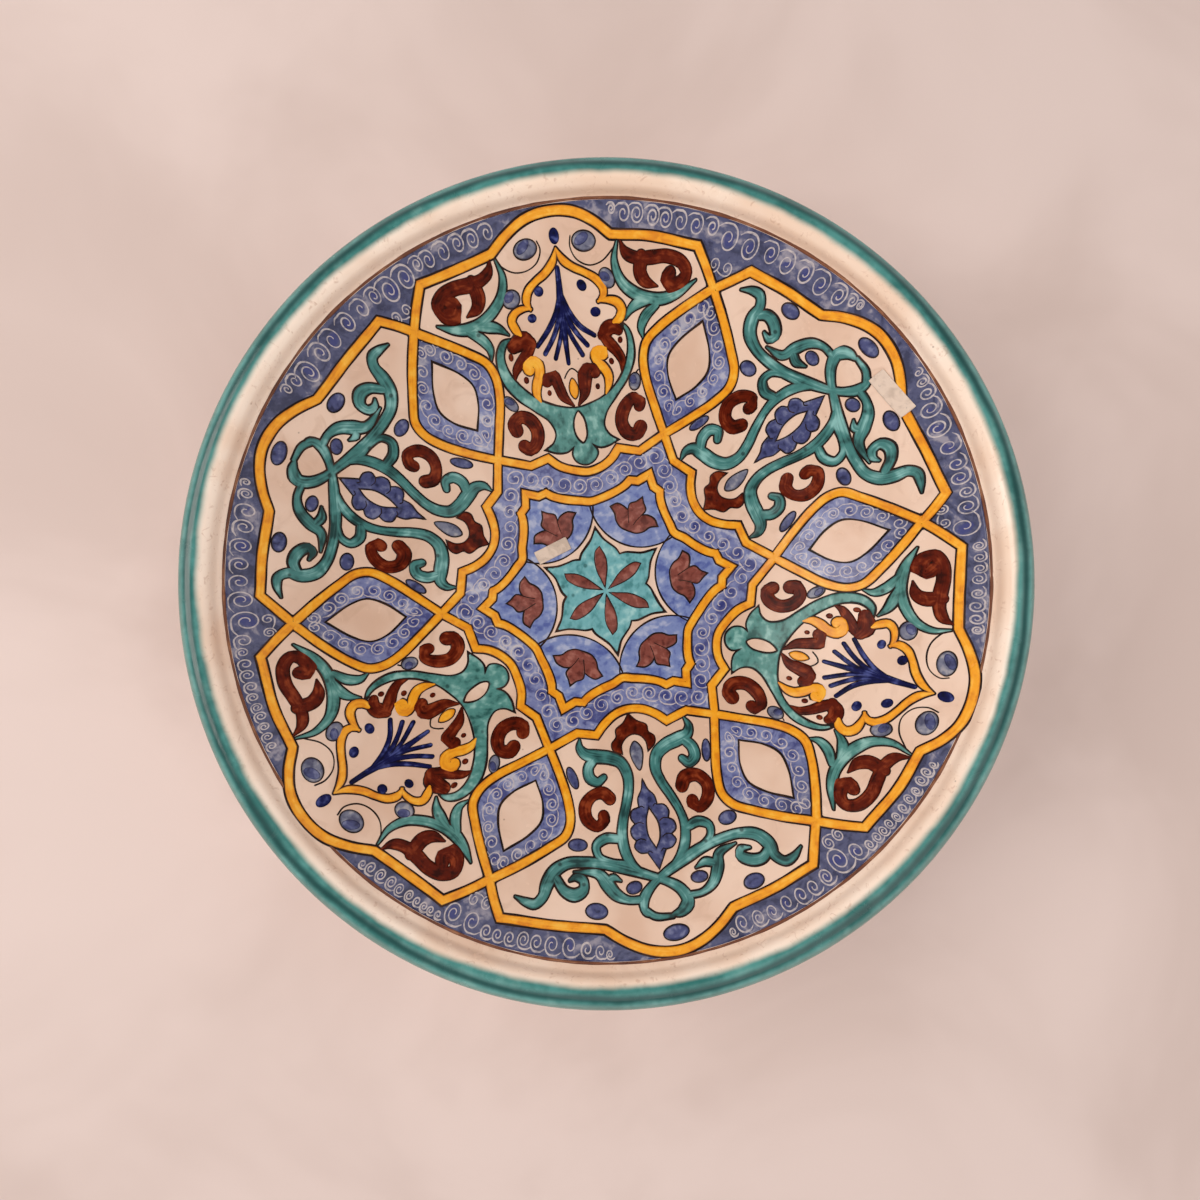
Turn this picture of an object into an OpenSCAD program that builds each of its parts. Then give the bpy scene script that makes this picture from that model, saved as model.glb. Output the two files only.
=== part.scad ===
// Hand painted ceramic dish: a deep thrown bowl on a foot ring, white glaze inside and out,
// a green rim, and six painted medallions round a star. Millimetres, +Z up, and the origin is
// on the table under the middle of the foot.

/* [Dish] */
// Diameter across the rolled lip
dish_d = 420; // [380:5:460]
// Height of the glazed lip above the table
dish_h = 114; // [106:1:122]
// Thickness of the fired clay wall, without its glaze
clay_t = 7.8; // [6.8:0.2:8.6]
// Radius of the rolled lip
lip_r = 8; // [7:0.5:9]
// Height of the glazed floor of the well above the table
well_z = 16; // [14:0.5:20]
// How late and steeply the wall curls up: 2 is a plain bowl, 3 is a flatter dish
wall_power = 2.8; // [2.5:0.1:3]

/* [Foot] */
// Outer diameter of the foot ring
foot_d = 160; // [146:2:168]
// Width of the foot ring
foot_w = 12; // [9:1:14]
// Chamfer on the foot ring's standing edges
foot_chamfer = 1.5; // [0.5:0.5:2.5]

/* [Glaze and paint] */
// Thickness of the white glaze
glaze_t = 0.6; // [0.4:0.1:1]
// Thickness of the painted colours
paint_t = 0.3; // [0.2:0.05:0.5]
// Width of the ochre straps
strap_w = 4.4; // [3:0.2:6]
// Width of the brown lines round the white lozenges
line_w = 1; // [0.8:0.1:1.4]

/* [Labels] */
// Length and width, seen from above, of the label on the wall: the slope makes it 10 mm wide
wall_label_size = [26, 7]; // [6:1:28]
// Length and width of the label in the well
well_label_size = [21, 8]; // [6:1:28]
// Thickness of a label
label_t = 0.2; // [0.15:0.05:0.4]

/* [Hidden] */
$fn = 48;

// The painted pattern is drawn for a 420 mm dish and grows with the real one
pattern = dish_d / 420;

// Stations along the wall, and the angles round the lip where its bead starts and stops
stations = 20;
crease = 195;
lip_under = -100;
lip_step = 14.75;

lip_c = [dish_d / 2 - lip_r, dish_h - lip_r];
wall_r = lip_c.x + lip_r * cos(crease);
wall_rise = lip_c.y + lip_r * sin(crease) - well_z;
wall_t = clay_t + 2 * glaze_t;

// Angles of the painted axes: six spokes, three palmettes and three arabesques
spokes = [for (i = [0:5]) 10 + 60 * i];
palmettes = [100, 220, 340];
arabesque_axes = [40, 160, 280];

// Colours as fired
clay_c = "#b5764e";
white_c = "#efe3d3";
teal_c = "#3c8f83";
ochre_c = "#e8a42c";
brown_c = "#6b2c1c";
cobalt_c = "#26306b";
wash_c = "#6576b4";
paper_c = "#e9dfd2";

// Height and slope of the glazed inner face at a radius
function wall_z(r) = well_z + wall_rise * pow(r / wall_r, wall_power);
function wall_slope(r) = atan(wall_rise * wall_power / wall_r * pow(r / wall_r, wall_power - 1));

// A point of the wall, moved out of the dish's inner face by a distance along the normal
function skin(r, out) = [r - out * sin(wall_slope(r)), wall_z(r) + out * cos(wall_slope(r))];
function station(i) = wall_r * i / stations;
function wall_line(i0, i1, out) = [for (i = [i0:i1]) skin(station(i), out)];
function lip_line(a0, a1, out) = [for (i = [0:ceil(abs(a1 - a0) / lip_step)])
    let (n = ceil(abs(a1 - a0) / lip_step), a = a0 + (a1 - a0) * i / n)
    lip_c + (lip_r + out) * [cos(a), sin(a)]];
function reversed(p) = [for (i = [len(p) - 1:-1:0]) p[i]];

// Smooth curves through a few points: Catmull-Rom, open and closed
function blend(a, b, c, d, u) = 0.5 * (2 * b + (c - a) * u + (2 * a - 5 * b + 4 * c - d) * u * u
    + (3 * b - a - 3 * c + d) * u * u * u);
function curve(p, n = 3) = let (last = len(p) - 1) concat(
    [for (i = [0:last - 1], t = [0:n - 1])
        blend(p[max(i - 1, 0)], p[i], p[i + 1], p[min(i + 2, last)], t / n)], [p[last]]);
function ring(p, n = 3) = let (m = len(p)) [for (i = [0:m - 1], t = [0:n - 1])
    blend(p[(i + m - 1) % m], p[i], p[(i + 1) % m], p[(i + 2) % m], t / n)];

// The left half of a symmetric outline, given from top to bottom, closed by its mirror image
function mirrored(p) = concat(p, [for (q = reversed(p)) if (q.x != 0) [-q.x, q.y]]);

// A closed outline moved sideways by d, with mitred corners
function side(a, b) = let (v = (b - a) / norm(b - a)) [v.y, -v.x];
function mitred(p, d) = let (m = len(p)) [for (i = [0:m - 1])
    let (n0 = side(p[(i + m - 1) % m], p[i]), n1 = side(p[i], p[(i + 1) % m]))
    p[i] + d * (n0 + n1) / (1 + n0 * n1)];

// The two sides of a brush stroke whose points are [x, y, width]
function way(p, i) = let (v = p[min(i + 1, len(p) - 1)] - p[max(i - 1, 0)]) [v.x, v.y] / norm([v.x, v.y]);
function edge(p, s) = [for (i = [0:len(p) - 1]) let (w = way(p, i))
    [p[i].x, p[i].y] + s * p[i].z / 2 * [-w.y, w.x]];

// An arc between two points that bulges sideways by h
function arc(a, b, h, n = 6) = [for (i = [0:n]) let (u = i / n)
    a + (b - a) * u + side(a, b) * h * 4 * u * (1 - u)];

module stroke(p, n = 3) {
    line = curve(p, n) * pattern;
    polygon(concat(edge(line, 1), reversed(edge(line, -1))));
}

module both() {
    children();
    mirror([1, 0]) children();
}

module oval(x, y, rx, ry, turn = 0) {
    n = 14;
    polygon([for (i = [0:n - 1]) let (a = 360 * i / n, p = [rx * cos(a), ry * sin(a)])
        pattern * [x + p.x * cos(turn) - p.y * sin(turn), y + p.x * sin(turn) + p.y * cos(turn)]]);
}

// Copies of a drawing whose +Y axis points outwards, one at each angle
module around(angles) {
    for (a = angles) rotate(a - 90) children();
}

// A thin coat on the inner face between two stations
module coat(i0, i1, low, high) {
    rotate_extrude($fn = 96) polygon(concat(wall_line(i0, i1, low), reversed(wall_line(i0, i1, high))));
}

// A drawing laid on the glazed inner face as a coat of paint
module painted(c, i0, i1) {
    color(c) intersection() {
        coat(i0, i1, 0, paint_t);
        linear_extrude(dish_h + lip_r) children();
    }
}

// Outline of one medallion along the middle of its strap: its left half from the top down,
// with a hump under the rim, a round-cornered flank beside the lozenge and a bay over the star
hump = arc([31, 177.5], [-31, 177.5], 12);
bay = arc([-21, 81.5], [21, 81.5], 11.5);
flank = curve([[-84, 145.5], [-68, 141], [-54, 136.5], [-46, 131], [-42.5, 122], [-43, 110],
    [-48.5, 84]], 2);
function medallion() = mirrored(concat([for (i = [3:6]) hump[i]], [[-77, 163.5]], flank,
    [[-31.5, 77.5]], [for (i = [0:3]) bay[i]])) * pattern;

// Outline of the star along the middle of its strap: a tip, an ear and a bay for each spoke
function turned(p, a) = [p.x * cos(a) - p.y * sin(a), p.x * sin(a) + p.y * cos(a)];
function star() = [for (a = spokes) let (
    tip = [[9.6, 67.8], [4.2, 68.5], [0, 74.5], [-4.2, 68.5]],
    cove = arc([-9.6, 67.8], turned([9.6, 67.8], 60), -10.5),
    spoke = concat(tip, [for (i = [0:len(cove) - 2]) cove[i]]))
    for (p = spoke) turned(p, a - 90) * pattern];

function lozenge() = pattern
    * ring(mirrored([[0, 155], [-9, 143], [-12.3, 134], [-9, 125], [0, 115.5]]), 2);

module medallions(grow) {
    around(concat(palmettes, arabesque_axes)) polygon(mitred(medallion(), grow));
}

// The bowl and its foot

module clay_bowl() {
    color(clay_c) clay_shape();
}

module clay_shape() {
    rotate_extrude($fn = 96) polygon(concat(
        wall_line(0, stations, -glaze_t),
        lip_line(crease, lip_under, -glaze_t),
        reversed(wall_line(0, stations - 1, -glaze_t - clay_t))));
}

module foot_ring() {
    outer = foot_d / 2;
    inner = outer - foot_w;
    inside_clay = wall_z(outer) - 2 * glaze_t;
    color(clay_c) difference() {
        rotate_extrude($fn = 96) polygon([
            [inner + foot_chamfer, 0], [outer - foot_chamfer, 0], [outer, foot_chamfer],
            [outer, inside_clay - clay_t / 2], [inner, inside_clay - clay_t / 2], [inner, foot_chamfer]]);
        clay_shape();
    }
}

module inside_glaze() {
    color(white_c) rotate_extrude($fn = 96) polygon(concat(
        wall_line(0, stations, 0), lip_line(crease, 0, 0),
        lip_line(0, crease, -glaze_t), reversed(wall_line(0, stations, -glaze_t))));
}

module outside_glaze() {
    // The glaze stops one station outside the foot, where the dish was held for dipping
    first = ceil((foot_d / 2 + 4) / station(1));
    color(white_c) rotate_extrude($fn = 96) polygon(concat(
        wall_line(first, stations - 1, -wall_t), lip_line(lip_under, 0, 0),
        lip_line(0, lip_under, -glaze_t), reversed(wall_line(first, stations - 1, glaze_t - wall_t))));
}

module rim_green_glaze() {
    color(teal_c) rotate_extrude($fn = 96)
        polygon(concat(lip_line(112, -60, 0), lip_line(-60, 112, paint_t)));
}

// Bands and straps

module border_line() {
    painted(brown_c, stations - 1, stations) difference() {
        circle(192.3 * pattern, $fn = 96);
        circle(190.7 * pattern, $fn = 96);
    }
}

module scroll_ground() {
    painted(wash_c, 5, stations) difference() {
        circle(190.7 * pattern, $fn = 96);
        medallions(strap_w / 2);
        polygon(mitred(star(), strap_w / 2));
        around(spokes) polygon(mitred(lozenge(), line_w));
    }
}

module medallion_straps() {
    painted(ochre_c, 6, stations) difference() {
        medallions(strap_w / 2);
        medallions(-strap_w / 2);
    }
}

module star_strap() {
    painted(ochre_c, 4, 9) difference() {
        polygon(mitred(star(), strap_w / 2));
        polygon(mitred(star(), -strap_w / 2));
    }
}

module lozenge_lines() {
    painted(brown_c, 11, 17) difference() {
        around(spokes) polygon(mitred(lozenge(), line_w));
        around(spokes) polygon(lozenge());
    }
}

// Rosette in the well

module rosette_lobes() {
    painted(wash_c, 2, 8) difference() {
        intersection() {
            polygon(mitred(star(), -strap_w / 2));
            around(spokes) translate([0, 61 * pattern]) circle(30.3 * pattern);
        }
        flowers();
    }
}

module flowers() {
    around(spokes) polygon(pattern * mirrored([[0, 61], [-4.5, 54], [-4.5, 48.5], [-9, 48],
        [-17, 46], [-12.5, 38], [-7, 34]]));
}

module petals() {
    around([for (a = spokes) a + 30])
        polygon(pattern * mirrored([[0, 28.5], [-3.2, 24], [-3.9, 16], [-2.4, 8], [0, 3]]));
}

module rosette_flowers() {
    painted(brown_c, 3, 7) flowers();
}

module rosette_star() {
    painted(teal_c, 0, 5) difference() {
        polygon([for (a = spokes) each [
            turned([0, 23], a - 90), turned([-2.5, 28.5], a - 90),
            turned([0, 39.5], a - 60), turned([2.5, 28.5], a - 30)] * pattern]);
        petals();
    }
}

module rosette_petals() {
    painted(brown_c, 0, 3) petals();
}

// Palmette medallions

module palmette_vases() {
    painted(teal_c, 7, 19) around(palmettes) {
        difference() {
            polygon(pattern * mirrored(concat(curve([[0, 106.5], [-12, 108], [-22, 112.5], [-31, 120],
                [-36.5, 130], [-37, 138], [-34, 144]], 2), curve([[-38.5, 141], [-41, 134], [-38.5, 125],
                [-31, 116], [-22, 108.5], [-16, 103], [-14, 97], [-16, 90], [-21, 86]], 2),
                [[-12, 84], [-6, 84.5], [-6.5, 79], [-3, 75.8]])));
            oval(0, 96, 4, 8);
        }
        both() {
            stroke([[-32.5, 175, 1], [-31, 168, 3.2], [-36, 158.5, 4], [-48, 151.5, 5], [-58, 150, 5],
                [-68, 151.5, 1]]);
            stroke([[-53, 149, 3], [-42, 149.5, 5], [-34, 146.5, 1]]);
            stroke([[-53, 148, 3], [-46, 144, 4], [-43.5, 137, 1]]);
        }
    }
}

module palmette_arches() {
    painted(ochre_c, 11, 19) around(palmettes) {
        both() {
            stroke([[0.5, 178.5, 2], [-5, 170, 4.4], [-13, 166, 3.6], [-19, 161.5, 4.2], [-19, 156, 1.5]]);
            stroke([[-18.4, 155.4, 1.5], [-24, 155.5, 3], [-29, 151.5, 4.4], [-26.5, 146.5, 2]]);
            stroke([[-26, 130.5, 3], [-22, 133.5, 6], [-17, 131, 5], [-19, 124, 4.5], [-21, 117, 4],
                [-19.5, 112.5, 2]]);
        }
        oval(0, 117, 2.4, 5.4);
    }
}

module palmette_scrolls() {
    painted(brown_c, 11, 19) around(palmettes) both() {
        stroke([[-36, 174.5, 1], [-38.5, 170, 4.5], [-47, 166, 6.5], [-57, 165, 6.5], [-66, 160.5, 5.5],
            [-66, 155, 4], [-60.5, 154.8, 2.5]]);
        stroke([[-46, 166, 5], [-46, 160, 5], [-53, 155.2, 1]]);
        stroke([[-19.5, 141, 3], [-23, 142, 7], [-29, 141.5, 7], [-33, 139.5, 3]]);
        stroke([[-24, 139, 6], [-29.5, 133.5, 4], [-33, 126, 1.5]]);
        stroke([[-16.5, 122.5, 3], [-13, 125, 6], [-8.5, 122, 6], [-8, 115, 5], [-5, 109.5, 1.5]]);
    }
}

module palmette_sprays() {
    painted(cobalt_c, 12, 20) around(palmettes) {
        stroke([[0, 171, 2.2], [0, 160, 3.6], [0, 148, 4.4], [0, 130, 2.2]]);
        both() {
            stroke([[0.5, 162, 2], [-4, 151.5, 3], [-17, 140, 2.2]]);
            stroke([[0.5, 156, 2], [-3.5, 146.5, 3], [-12.5, 136, 2.2]]);
            stroke([[0.5, 150, 2], [-2.5, 143, 2.6], [-7.5, 133, 2.2]]);
            oval(-12.5, 161.5, 2.4, 2.4);
            oval(-17, 150.5, 2.4, 2.2);
        }
        oval(0, 182.5, 2.7, 2.7);
    }
}

// Arabesque medallions

module arabesques() {
    painted(teal_c, 8, 19) around(arabesque_axes) both() {
        difference() {
            union() {
                stroke([[0.5, 174.5, 1.5], [-7, 174, 3], [-13, 169.5, 5], [-11, 163.5, 4.4], [0, 158, 3.6],
                    [10, 153.5, 4.6], [20, 149, 5.4], [34, 145.5, 5], [46, 143.8, 5], [54, 147.5, 6.5],
                    [58.5, 155, 6], [66, 158, 5.4], [76, 153, 1]]);
                stroke([[-57, 154, 5], [-50, 158.5, 5.4], [-43, 157, 4.5], [-41.5, 151.5, 2.5]]);
                stroke([[-11, 166, 5], [-20, 166, 4], [-27.5, 161.5, 4.6], [-32, 152.5, 4.4],
                    [-43, 149, 1]]);
                stroke([[-28, 155.5, 4], [-18, 155.2, 1]]);
                stroke([[-12, 151.5, 4], [-17, 143, 5], [-18, 134, 6], [-13, 122, 5.5], [-8, 111, 5.5],
                    [-7.5, 101, 5.5], [-12.5, 94.5, 6.5], [-21, 92, 7], [-28, 89, 5.4], [-30.5, 84, 1]]);
                stroke([[-23, 103, 2.4], [-27, 105.5, 5], [-31.5, 102.5, 6.4], [-32, 97, 6], [-27, 92, 6]]);
                polygon(pattern * curve([[-17, 149], [-26, 147], [-33, 141.5], [-32, 136.5],
                    [-25, 134], [-17, 136]], 2));
            }
            oval(-24.5, 142, 2.6, 6.4, -50);
        }
    }
}

module arabesque_almonds() {
    painted(cobalt_c, 10, 17) around(arabesque_axes) {
        difference() {
            polygon(pattern * mirrored([[0, 153], [-3.6, 149], [-6, 146.8], [-9.4, 145], [-10.4, 141.5],
                [-8.6, 139.5], [-11, 136.5], [-10.4, 133], [-8.2, 131.5], [-9.6, 128.5], [-7.8, 125],
                [-4.4, 124], [-4, 119.5], [0, 110]]));
            oval(0, 135, 3, 8.5);
        }
        oval(0, 97, 3, 6.5);
    }
}

module arabesque_crowns() {
    painted(brown_c, 7, 10) around(arabesque_axes)
        polygon(pattern * mirrored([[0, 85], [-5.5, 88.5], [-6.2, 93], [-8.5, 94], [-11.5, 90],
            [-10, 86], [-8, 81], [0, 75]]));
}

// Strokes scattered over the medallions

module comma_leaves() {
    painted(brown_c, 8, 15) {
        around(palmettes) both()
            stroke([[-38, 98, 4], [-35, 104, 5.5], [-28.5, 105, 6.5], [-23.5, 98, 7],
                [-26, 90, 6.5], [-32, 87.5, 5], [-35.5, 91.5, 3]]);
        around(arabesque_axes) both()
            stroke([[-25, 125, 3.5], [-28, 129.5, 5], [-34, 127.5, 6], [-36.5, 120, 6.5],
                [-32, 113.5, 6.5], [-26, 113.5, 5.5], [-23, 118, 3.5]]);
    }
}

module cobalt_dots() {
    painted(cobalt_c, 9, stations) {
        around(palmettes) both() {
            oval(-18, 179, 5.4, 2.8);
            oval(-27.5, 161.5, 4.4, 3.2, 15);
            oval(-37, 113.5, 3, 4.2, 40);
        }
        around(arabesque_axes) {
            oval(0, 180.5, 5.5, 2.6);
            both() {
                oval(-49, 164.5, 5, 2.8, 15);
                oval(-43, 136, 4, 3, 10);
                oval(-20, 160.5, 3.8, 2.2);
                oval(-40.5, 101, 2.2, 5.5, -8);
            }
        }
    }
}

// Blank paper labels: one stuck on the wall, one in the well

module label(at, turn, size) {
    color(paper_c) intersection() {
        coat(0, stations, paint_t, paint_t + label_t);
        linear_extrude(dish_h + lip_r) translate(at * pattern) rotate(turn) square(size, center = true);
    }
}

module wall_label() {
    label([149, 97], -52, wall_label_size);
}

module well_label() {
    label([-31, 21], 27, well_label_size);
}

clay_bowl();
foot_ring();
inside_glaze();
outside_glaze();
rim_green_glaze();
border_line();
scroll_ground();
medallion_straps();
star_strap();
lozenge_lines();
rosette_lobes();
rosette_star();
rosette_petals();
rosette_flowers();
palmette_vases();
palmette_arches();
palmette_scrolls();
palmette_sprays();
arabesques();
arabesque_almonds();
arabesque_crowns();
comma_leaves();
cobalt_dots();
wall_label();
well_label();
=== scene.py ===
"""Looks of the hand painted ceramic dish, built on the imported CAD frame.

Everything is drawn in millimetres, and thrown() turns it into metres. The painted pattern is a flat
drawing seen from above. lay_drawing() puts it on the glazed wall, in thin coats one over the other.
"""

import bmesh
import bpy
import numpy as np
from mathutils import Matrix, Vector
from mathutils.geometry import delaunay_2d_cdt


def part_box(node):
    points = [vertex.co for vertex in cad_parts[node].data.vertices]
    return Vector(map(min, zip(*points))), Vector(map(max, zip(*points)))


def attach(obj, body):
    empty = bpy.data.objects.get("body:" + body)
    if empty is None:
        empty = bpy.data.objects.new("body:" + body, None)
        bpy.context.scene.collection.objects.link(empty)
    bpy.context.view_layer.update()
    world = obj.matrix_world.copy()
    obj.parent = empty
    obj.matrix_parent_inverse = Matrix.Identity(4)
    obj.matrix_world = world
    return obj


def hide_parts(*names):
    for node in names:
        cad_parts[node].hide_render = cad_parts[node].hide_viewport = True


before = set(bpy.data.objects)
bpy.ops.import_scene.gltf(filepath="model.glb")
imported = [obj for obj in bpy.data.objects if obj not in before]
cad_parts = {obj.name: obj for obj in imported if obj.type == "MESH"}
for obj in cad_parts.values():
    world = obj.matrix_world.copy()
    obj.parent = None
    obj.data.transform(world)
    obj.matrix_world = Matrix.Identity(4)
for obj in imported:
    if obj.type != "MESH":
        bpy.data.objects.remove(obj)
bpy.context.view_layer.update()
rng = np.random.default_rng(11)

# ---------------------------------------------------------------------------
# The dish's own surface, read from the frame
# ---------------------------------------------------------------------------

MM = 0.001
GLAZE_T = 0.6           # the thickness of each glaze
CLAY_T = 7.8            # and of the clay between them
WALL_T = CLAY_T + 2 * GLAZE_T
WALL_POWER = 2.8        # the wall climbs as this power of the radius
LIP_R = 8               # the radius of the rolled lip's section
CREASE = 195            # where the wall meets the lip inside, as an angle round its section
LIP_UNDER = -100        # and where the lip ends underneath
FOOT_W = 12             # the width of the foot ring
BORDER_R = 191.5                        # the painted ring that bounds the pattern
BORDER_OFF = np.array([0.07, 2.2])      # and its middle, in the drawing
PAST_BORDER = BORDER_R + 20             # a radius past anything that is drawn

# Neither the painted rosette, nor the border ring, nor the green rim is quite in the dish's middle
ROSETTE_AT = np.array([0.36, -2.87])
BORDER_AT = np.array([0.35, -1.22])
RIM_AT = np.array([0.1, 1.2])
OFF_POWER = 2.7         # how late the drawing slides from the rosette's middle to the border's

# The wobble of the throwing: the radius where it starts, and how far on it is whole
WOBBLE_FROM = 85
WOBBLE_OVER = 115


def cad_corners(node):
    """The low and the high corner of a CAD node, in millimetres."""
    return (np.array(corner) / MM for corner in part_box(node))


glaze_low, glaze_high = cad_corners("inside_glaze")
LIP_X = glaze_high[0] - LIP_R
LIP_Z = glaze_high[2] - LIP_R
WELL_Z = glaze_low[2] + GLAZE_T
WALL_R = LIP_X + LIP_R * np.cos(np.radians(CREASE))
WALL_RISE = LIP_Z + LIP_R * np.sin(np.radians(CREASE)) - WELL_Z
_, foot_high = cad_corners("foot_ring")
FOOT_R = foot_high[0]


def wall_z(r):
    """The height of the glazed inner face at a radius."""
    return WELL_Z + WALL_RISE * (r / WALL_R) ** WALL_POWER


def wall_slope(r):
    """Its slope there, in radians."""
    return np.arctan(WALL_RISE * WALL_POWER / WALL_R * (r / WALL_R) ** (WALL_POWER - 1))


def skin(r, out):
    """(radius, height) of points out millimetres off the glazed inner face, along its normal."""
    slope = wall_slope(r)
    return np.stack([r - out * np.sin(slope), wall_z(r) + out * np.cos(slope)], -1)


def lip(angles, out=0.0):
    """(radius, height) of points round the rolled lip, out millimetres off its glaze."""
    a = np.radians(angles)
    return np.stack([LIP_X + (LIP_R + out) * np.cos(a), LIP_Z + (LIP_R + out) * np.sin(a)], -1)


def thrown(p):
    """The points in metres, with a thrower's wobble: none at the foot, 0.4 mm at the lip."""
    r = np.hypot(p[:, 0], p[:, 1])
    a = np.arctan2(p[:, 1], p[:, 0])
    grow = np.clip((r - WOBBLE_FROM) / WOBBLE_OVER, 0, 1) ** 2
    p = p.copy()
    p[:, 2] += grow * (0.24 * np.sin(2 * a + 0.6) + 0.12 * np.sin(3 * a + 2.1) + 0.05 * np.sin(5 * a))
    p[:, :2] *= (1 + grow * (0.0011 * np.sin(2 * a + 2) + 0.0005 * np.sin(3 * a + 0.4)))[:, None]
    return p * MM


def mix(a, b, t):
    """From a to b as t goes from 0 to 1."""
    return a + (b - a) * t


def lay(xy, out):
    """Points (x, y) laid on the glazed wall, out millimetres above it, in metres."""
    r = np.maximum(np.hypot(xy[:, 0], xy[:, 1]), 1e-6)
    face = skin(np.minimum(r, WALL_R), out)
    return thrown(np.column_stack([xy * (face[:, :1] / r[:, None]), face[:, 1]]))


def lay_drawing(xy, out):
    """Points of the drawing laid on the wall: its rings lie a little off the dish's own middle."""
    share = (np.hypot(xy[:, 0], xy[:, 1]) / BORDER_R)[:, None] ** OFF_POWER
    return lay(xy + mix(ROSETTE_AT, BORDER_AT, share), out)


def linked(name, data):
    """A new object, linked into the scene."""
    thing = bpy.data.objects.new(name, data)
    bpy.context.scene.collection.objects.link(thing)
    return thing


def grid_quads(rows, columns):
    """A grid of point numbers, and the faces between them."""
    grid = np.arange(rows * columns).reshape(rows, columns)
    corners = [grid[:-1, :-1], grid[1:, :-1], grid[1:, 1:], grid[:-1, 1:]]
    return grid, np.stack(corners, -1).reshape(-1, 4)


def make(name, points, faces, flat_faces=(), **attributes):
    """A mesh object from points in metres, shaded smooth but for the faces that are named flat."""
    mesh = bpy.data.meshes.new(name)
    mesh.from_pydata(points.tolist(), [], faces)
    flat = np.zeros(len(mesh.polygons), bool)
    flat[list(flat_faces)] = True
    mesh.polygons.foreach_set("use_smooth", ~flat)
    for label, values in attributes.items():
        kind, field = ("FLOAT", "value") if values.ndim == 1 else ("FLOAT_VECTOR", "vector")
        attribute = mesh.attributes.new(label, kind, "POINT")
        attribute.data.foreach_set(field, values.astype(np.float32).ravel())
    mesh.validate()
    mesh.update()
    return linked(name, mesh)


def settle(piece, material, slot, *nodes):
    """Gives a piece its finish and its body, and hides the CAD nodes that it stands for."""
    piece.data.materials.append(material)
    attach(piece, "root")
    if nodes:
        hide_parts(*nodes)
    return piece


# How many profiles a lathed piece has round it
TURNS = 288


def lathe(name, profile, sharp_corner=40):
    """A closed ring or bowl. profile(angle) gives (radius, height) rows, as many at every angle,
    and may give a third column: how far, in millimetres, each point is from the coat's edge."""
    p = np.array([profile(2 * np.pi * i / TURNS) for i in range(TURNS)])
    n = p.shape[1]
    a = np.arange(TURNS)[:, None] * 2 * np.pi / TURNS
    points = np.stack([p[:, :, 0] * np.cos(a), p[:, :, 0] * np.sin(a), p[:, :, 1]], -1).reshape(-1, 3)
    i, j = np.meshgrid(np.arange(TURNS), np.arange(n), indexing="ij")
    i2 = (i + 1) % TURNS
    j2 = (j + 1) % n
    quads = np.stack([i * n + j, i * n + j2, i2 * n + j2, i2 * n + j], -1).reshape(-1, 4)
    extra = {"edge": p[:, :, 2].ravel()} if p.shape[2] > 2 else {}
    piece = make(name, thrown(points), quads.tolist(), **extra)
    weld(piece)
    piece.data.set_sharp_from_angle(angle=np.radians(sharp_corner))
    return piece


def weld(piece):
    """Merges doubled points, such as the ones a lathe leaves on the axis."""
    work = bmesh.new()
    work.from_mesh(piece.data)
    bmesh.ops.remove_doubles(work, verts=work.verts, dist=1e-7)
    bmesh.ops.dissolve_degenerate(work, edges=work.edges, dist=1e-8)
    work.to_mesh(piece.data)
    work.free()


# ---------------------------------------------------------------------------
# Paint: brush strokes and filled shapes laid on the wall as thin closed coats
# ---------------------------------------------------------------------------

ACROSS = np.array([-1, -0.82, -0.45, 0, 0.45, 0.82, 1])     # points across a stroke, from side to side
SUNK = -0.05        # the underside of a coat, sunk in the glaze
DOME = 0.05         # how much a coat swells in its middle
BEVEL = 0.03        # how much lower its very edge is
GRID = 4.0          # the pitch of the points in a filled shape
INSET = 0.7         # and how far inside its edge the first ring of them lies
TINY = 1e-9


def unit(v):
    """Rows scaled to length 1."""
    return v / np.maximum(np.hypot(v[:, 0], v[:, 1]), TINY)[:, None]


def wavering(length, amount):
    """A slow random waver round 1 along a stroke, as a hand's pressure gives."""
    a, b, c = rng.uniform(0, 2 * np.pi, 3)
    waves = 0.5 * np.sin(length / 8.5 + a) + 0.3 * np.sin(length / 3.7 + b) + 0.2 * np.sin(length / 1.9 + c)
    return 1 + amount * waves


def lengths(p):
    """How far along a line each of its points is."""
    return np.concatenate([[0], np.cumsum(np.hypot(*np.diff(p[:, :2], axis=0).T))])


def mitre(p, closed):
    """The sideways direction at each point, lengthened at corners so that the edges stay parallel,
    and how sharply the line turns there."""
    ahead = np.roll(p, -1, 0) - p
    if not closed:
        ahead[-1] = ahead[-2]
    ahead = unit(ahead)
    behind = np.roll(ahead, 1, 0)
    if not closed:
        behind[0] = ahead[0]
    a = np.stack([-behind[:, 1], behind[:, 0]], 1)
    b = np.stack([-ahead[:, 1], ahead[:, 0]], 1)
    return (a + b) / np.maximum(1 + (a * b).sum(1), 0.35)[:, None], (behind * b).sum(1)


def round_caps(p):
    """Adds round ends to an open stroke, in more steps where the end is wider than a hair."""
    caps = []
    for end, before in ((p[0], p[1]), (p[-1], p[-2])):
        away = end[:2] - before[:2]
        away /= max(np.hypot(*away), TINY)
        turn = np.radians([84, 66, 45, 22]) if end[2] > 0.9 else np.radians([80])
        xy = end[:2] + away * end[2] / 2 * np.sin(turn)[:, None]
        caps.append(np.column_stack([xy, end[2] * np.cos(turn)]))
    return np.vstack([caps[0], p, caps[1][::-1]])


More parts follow.
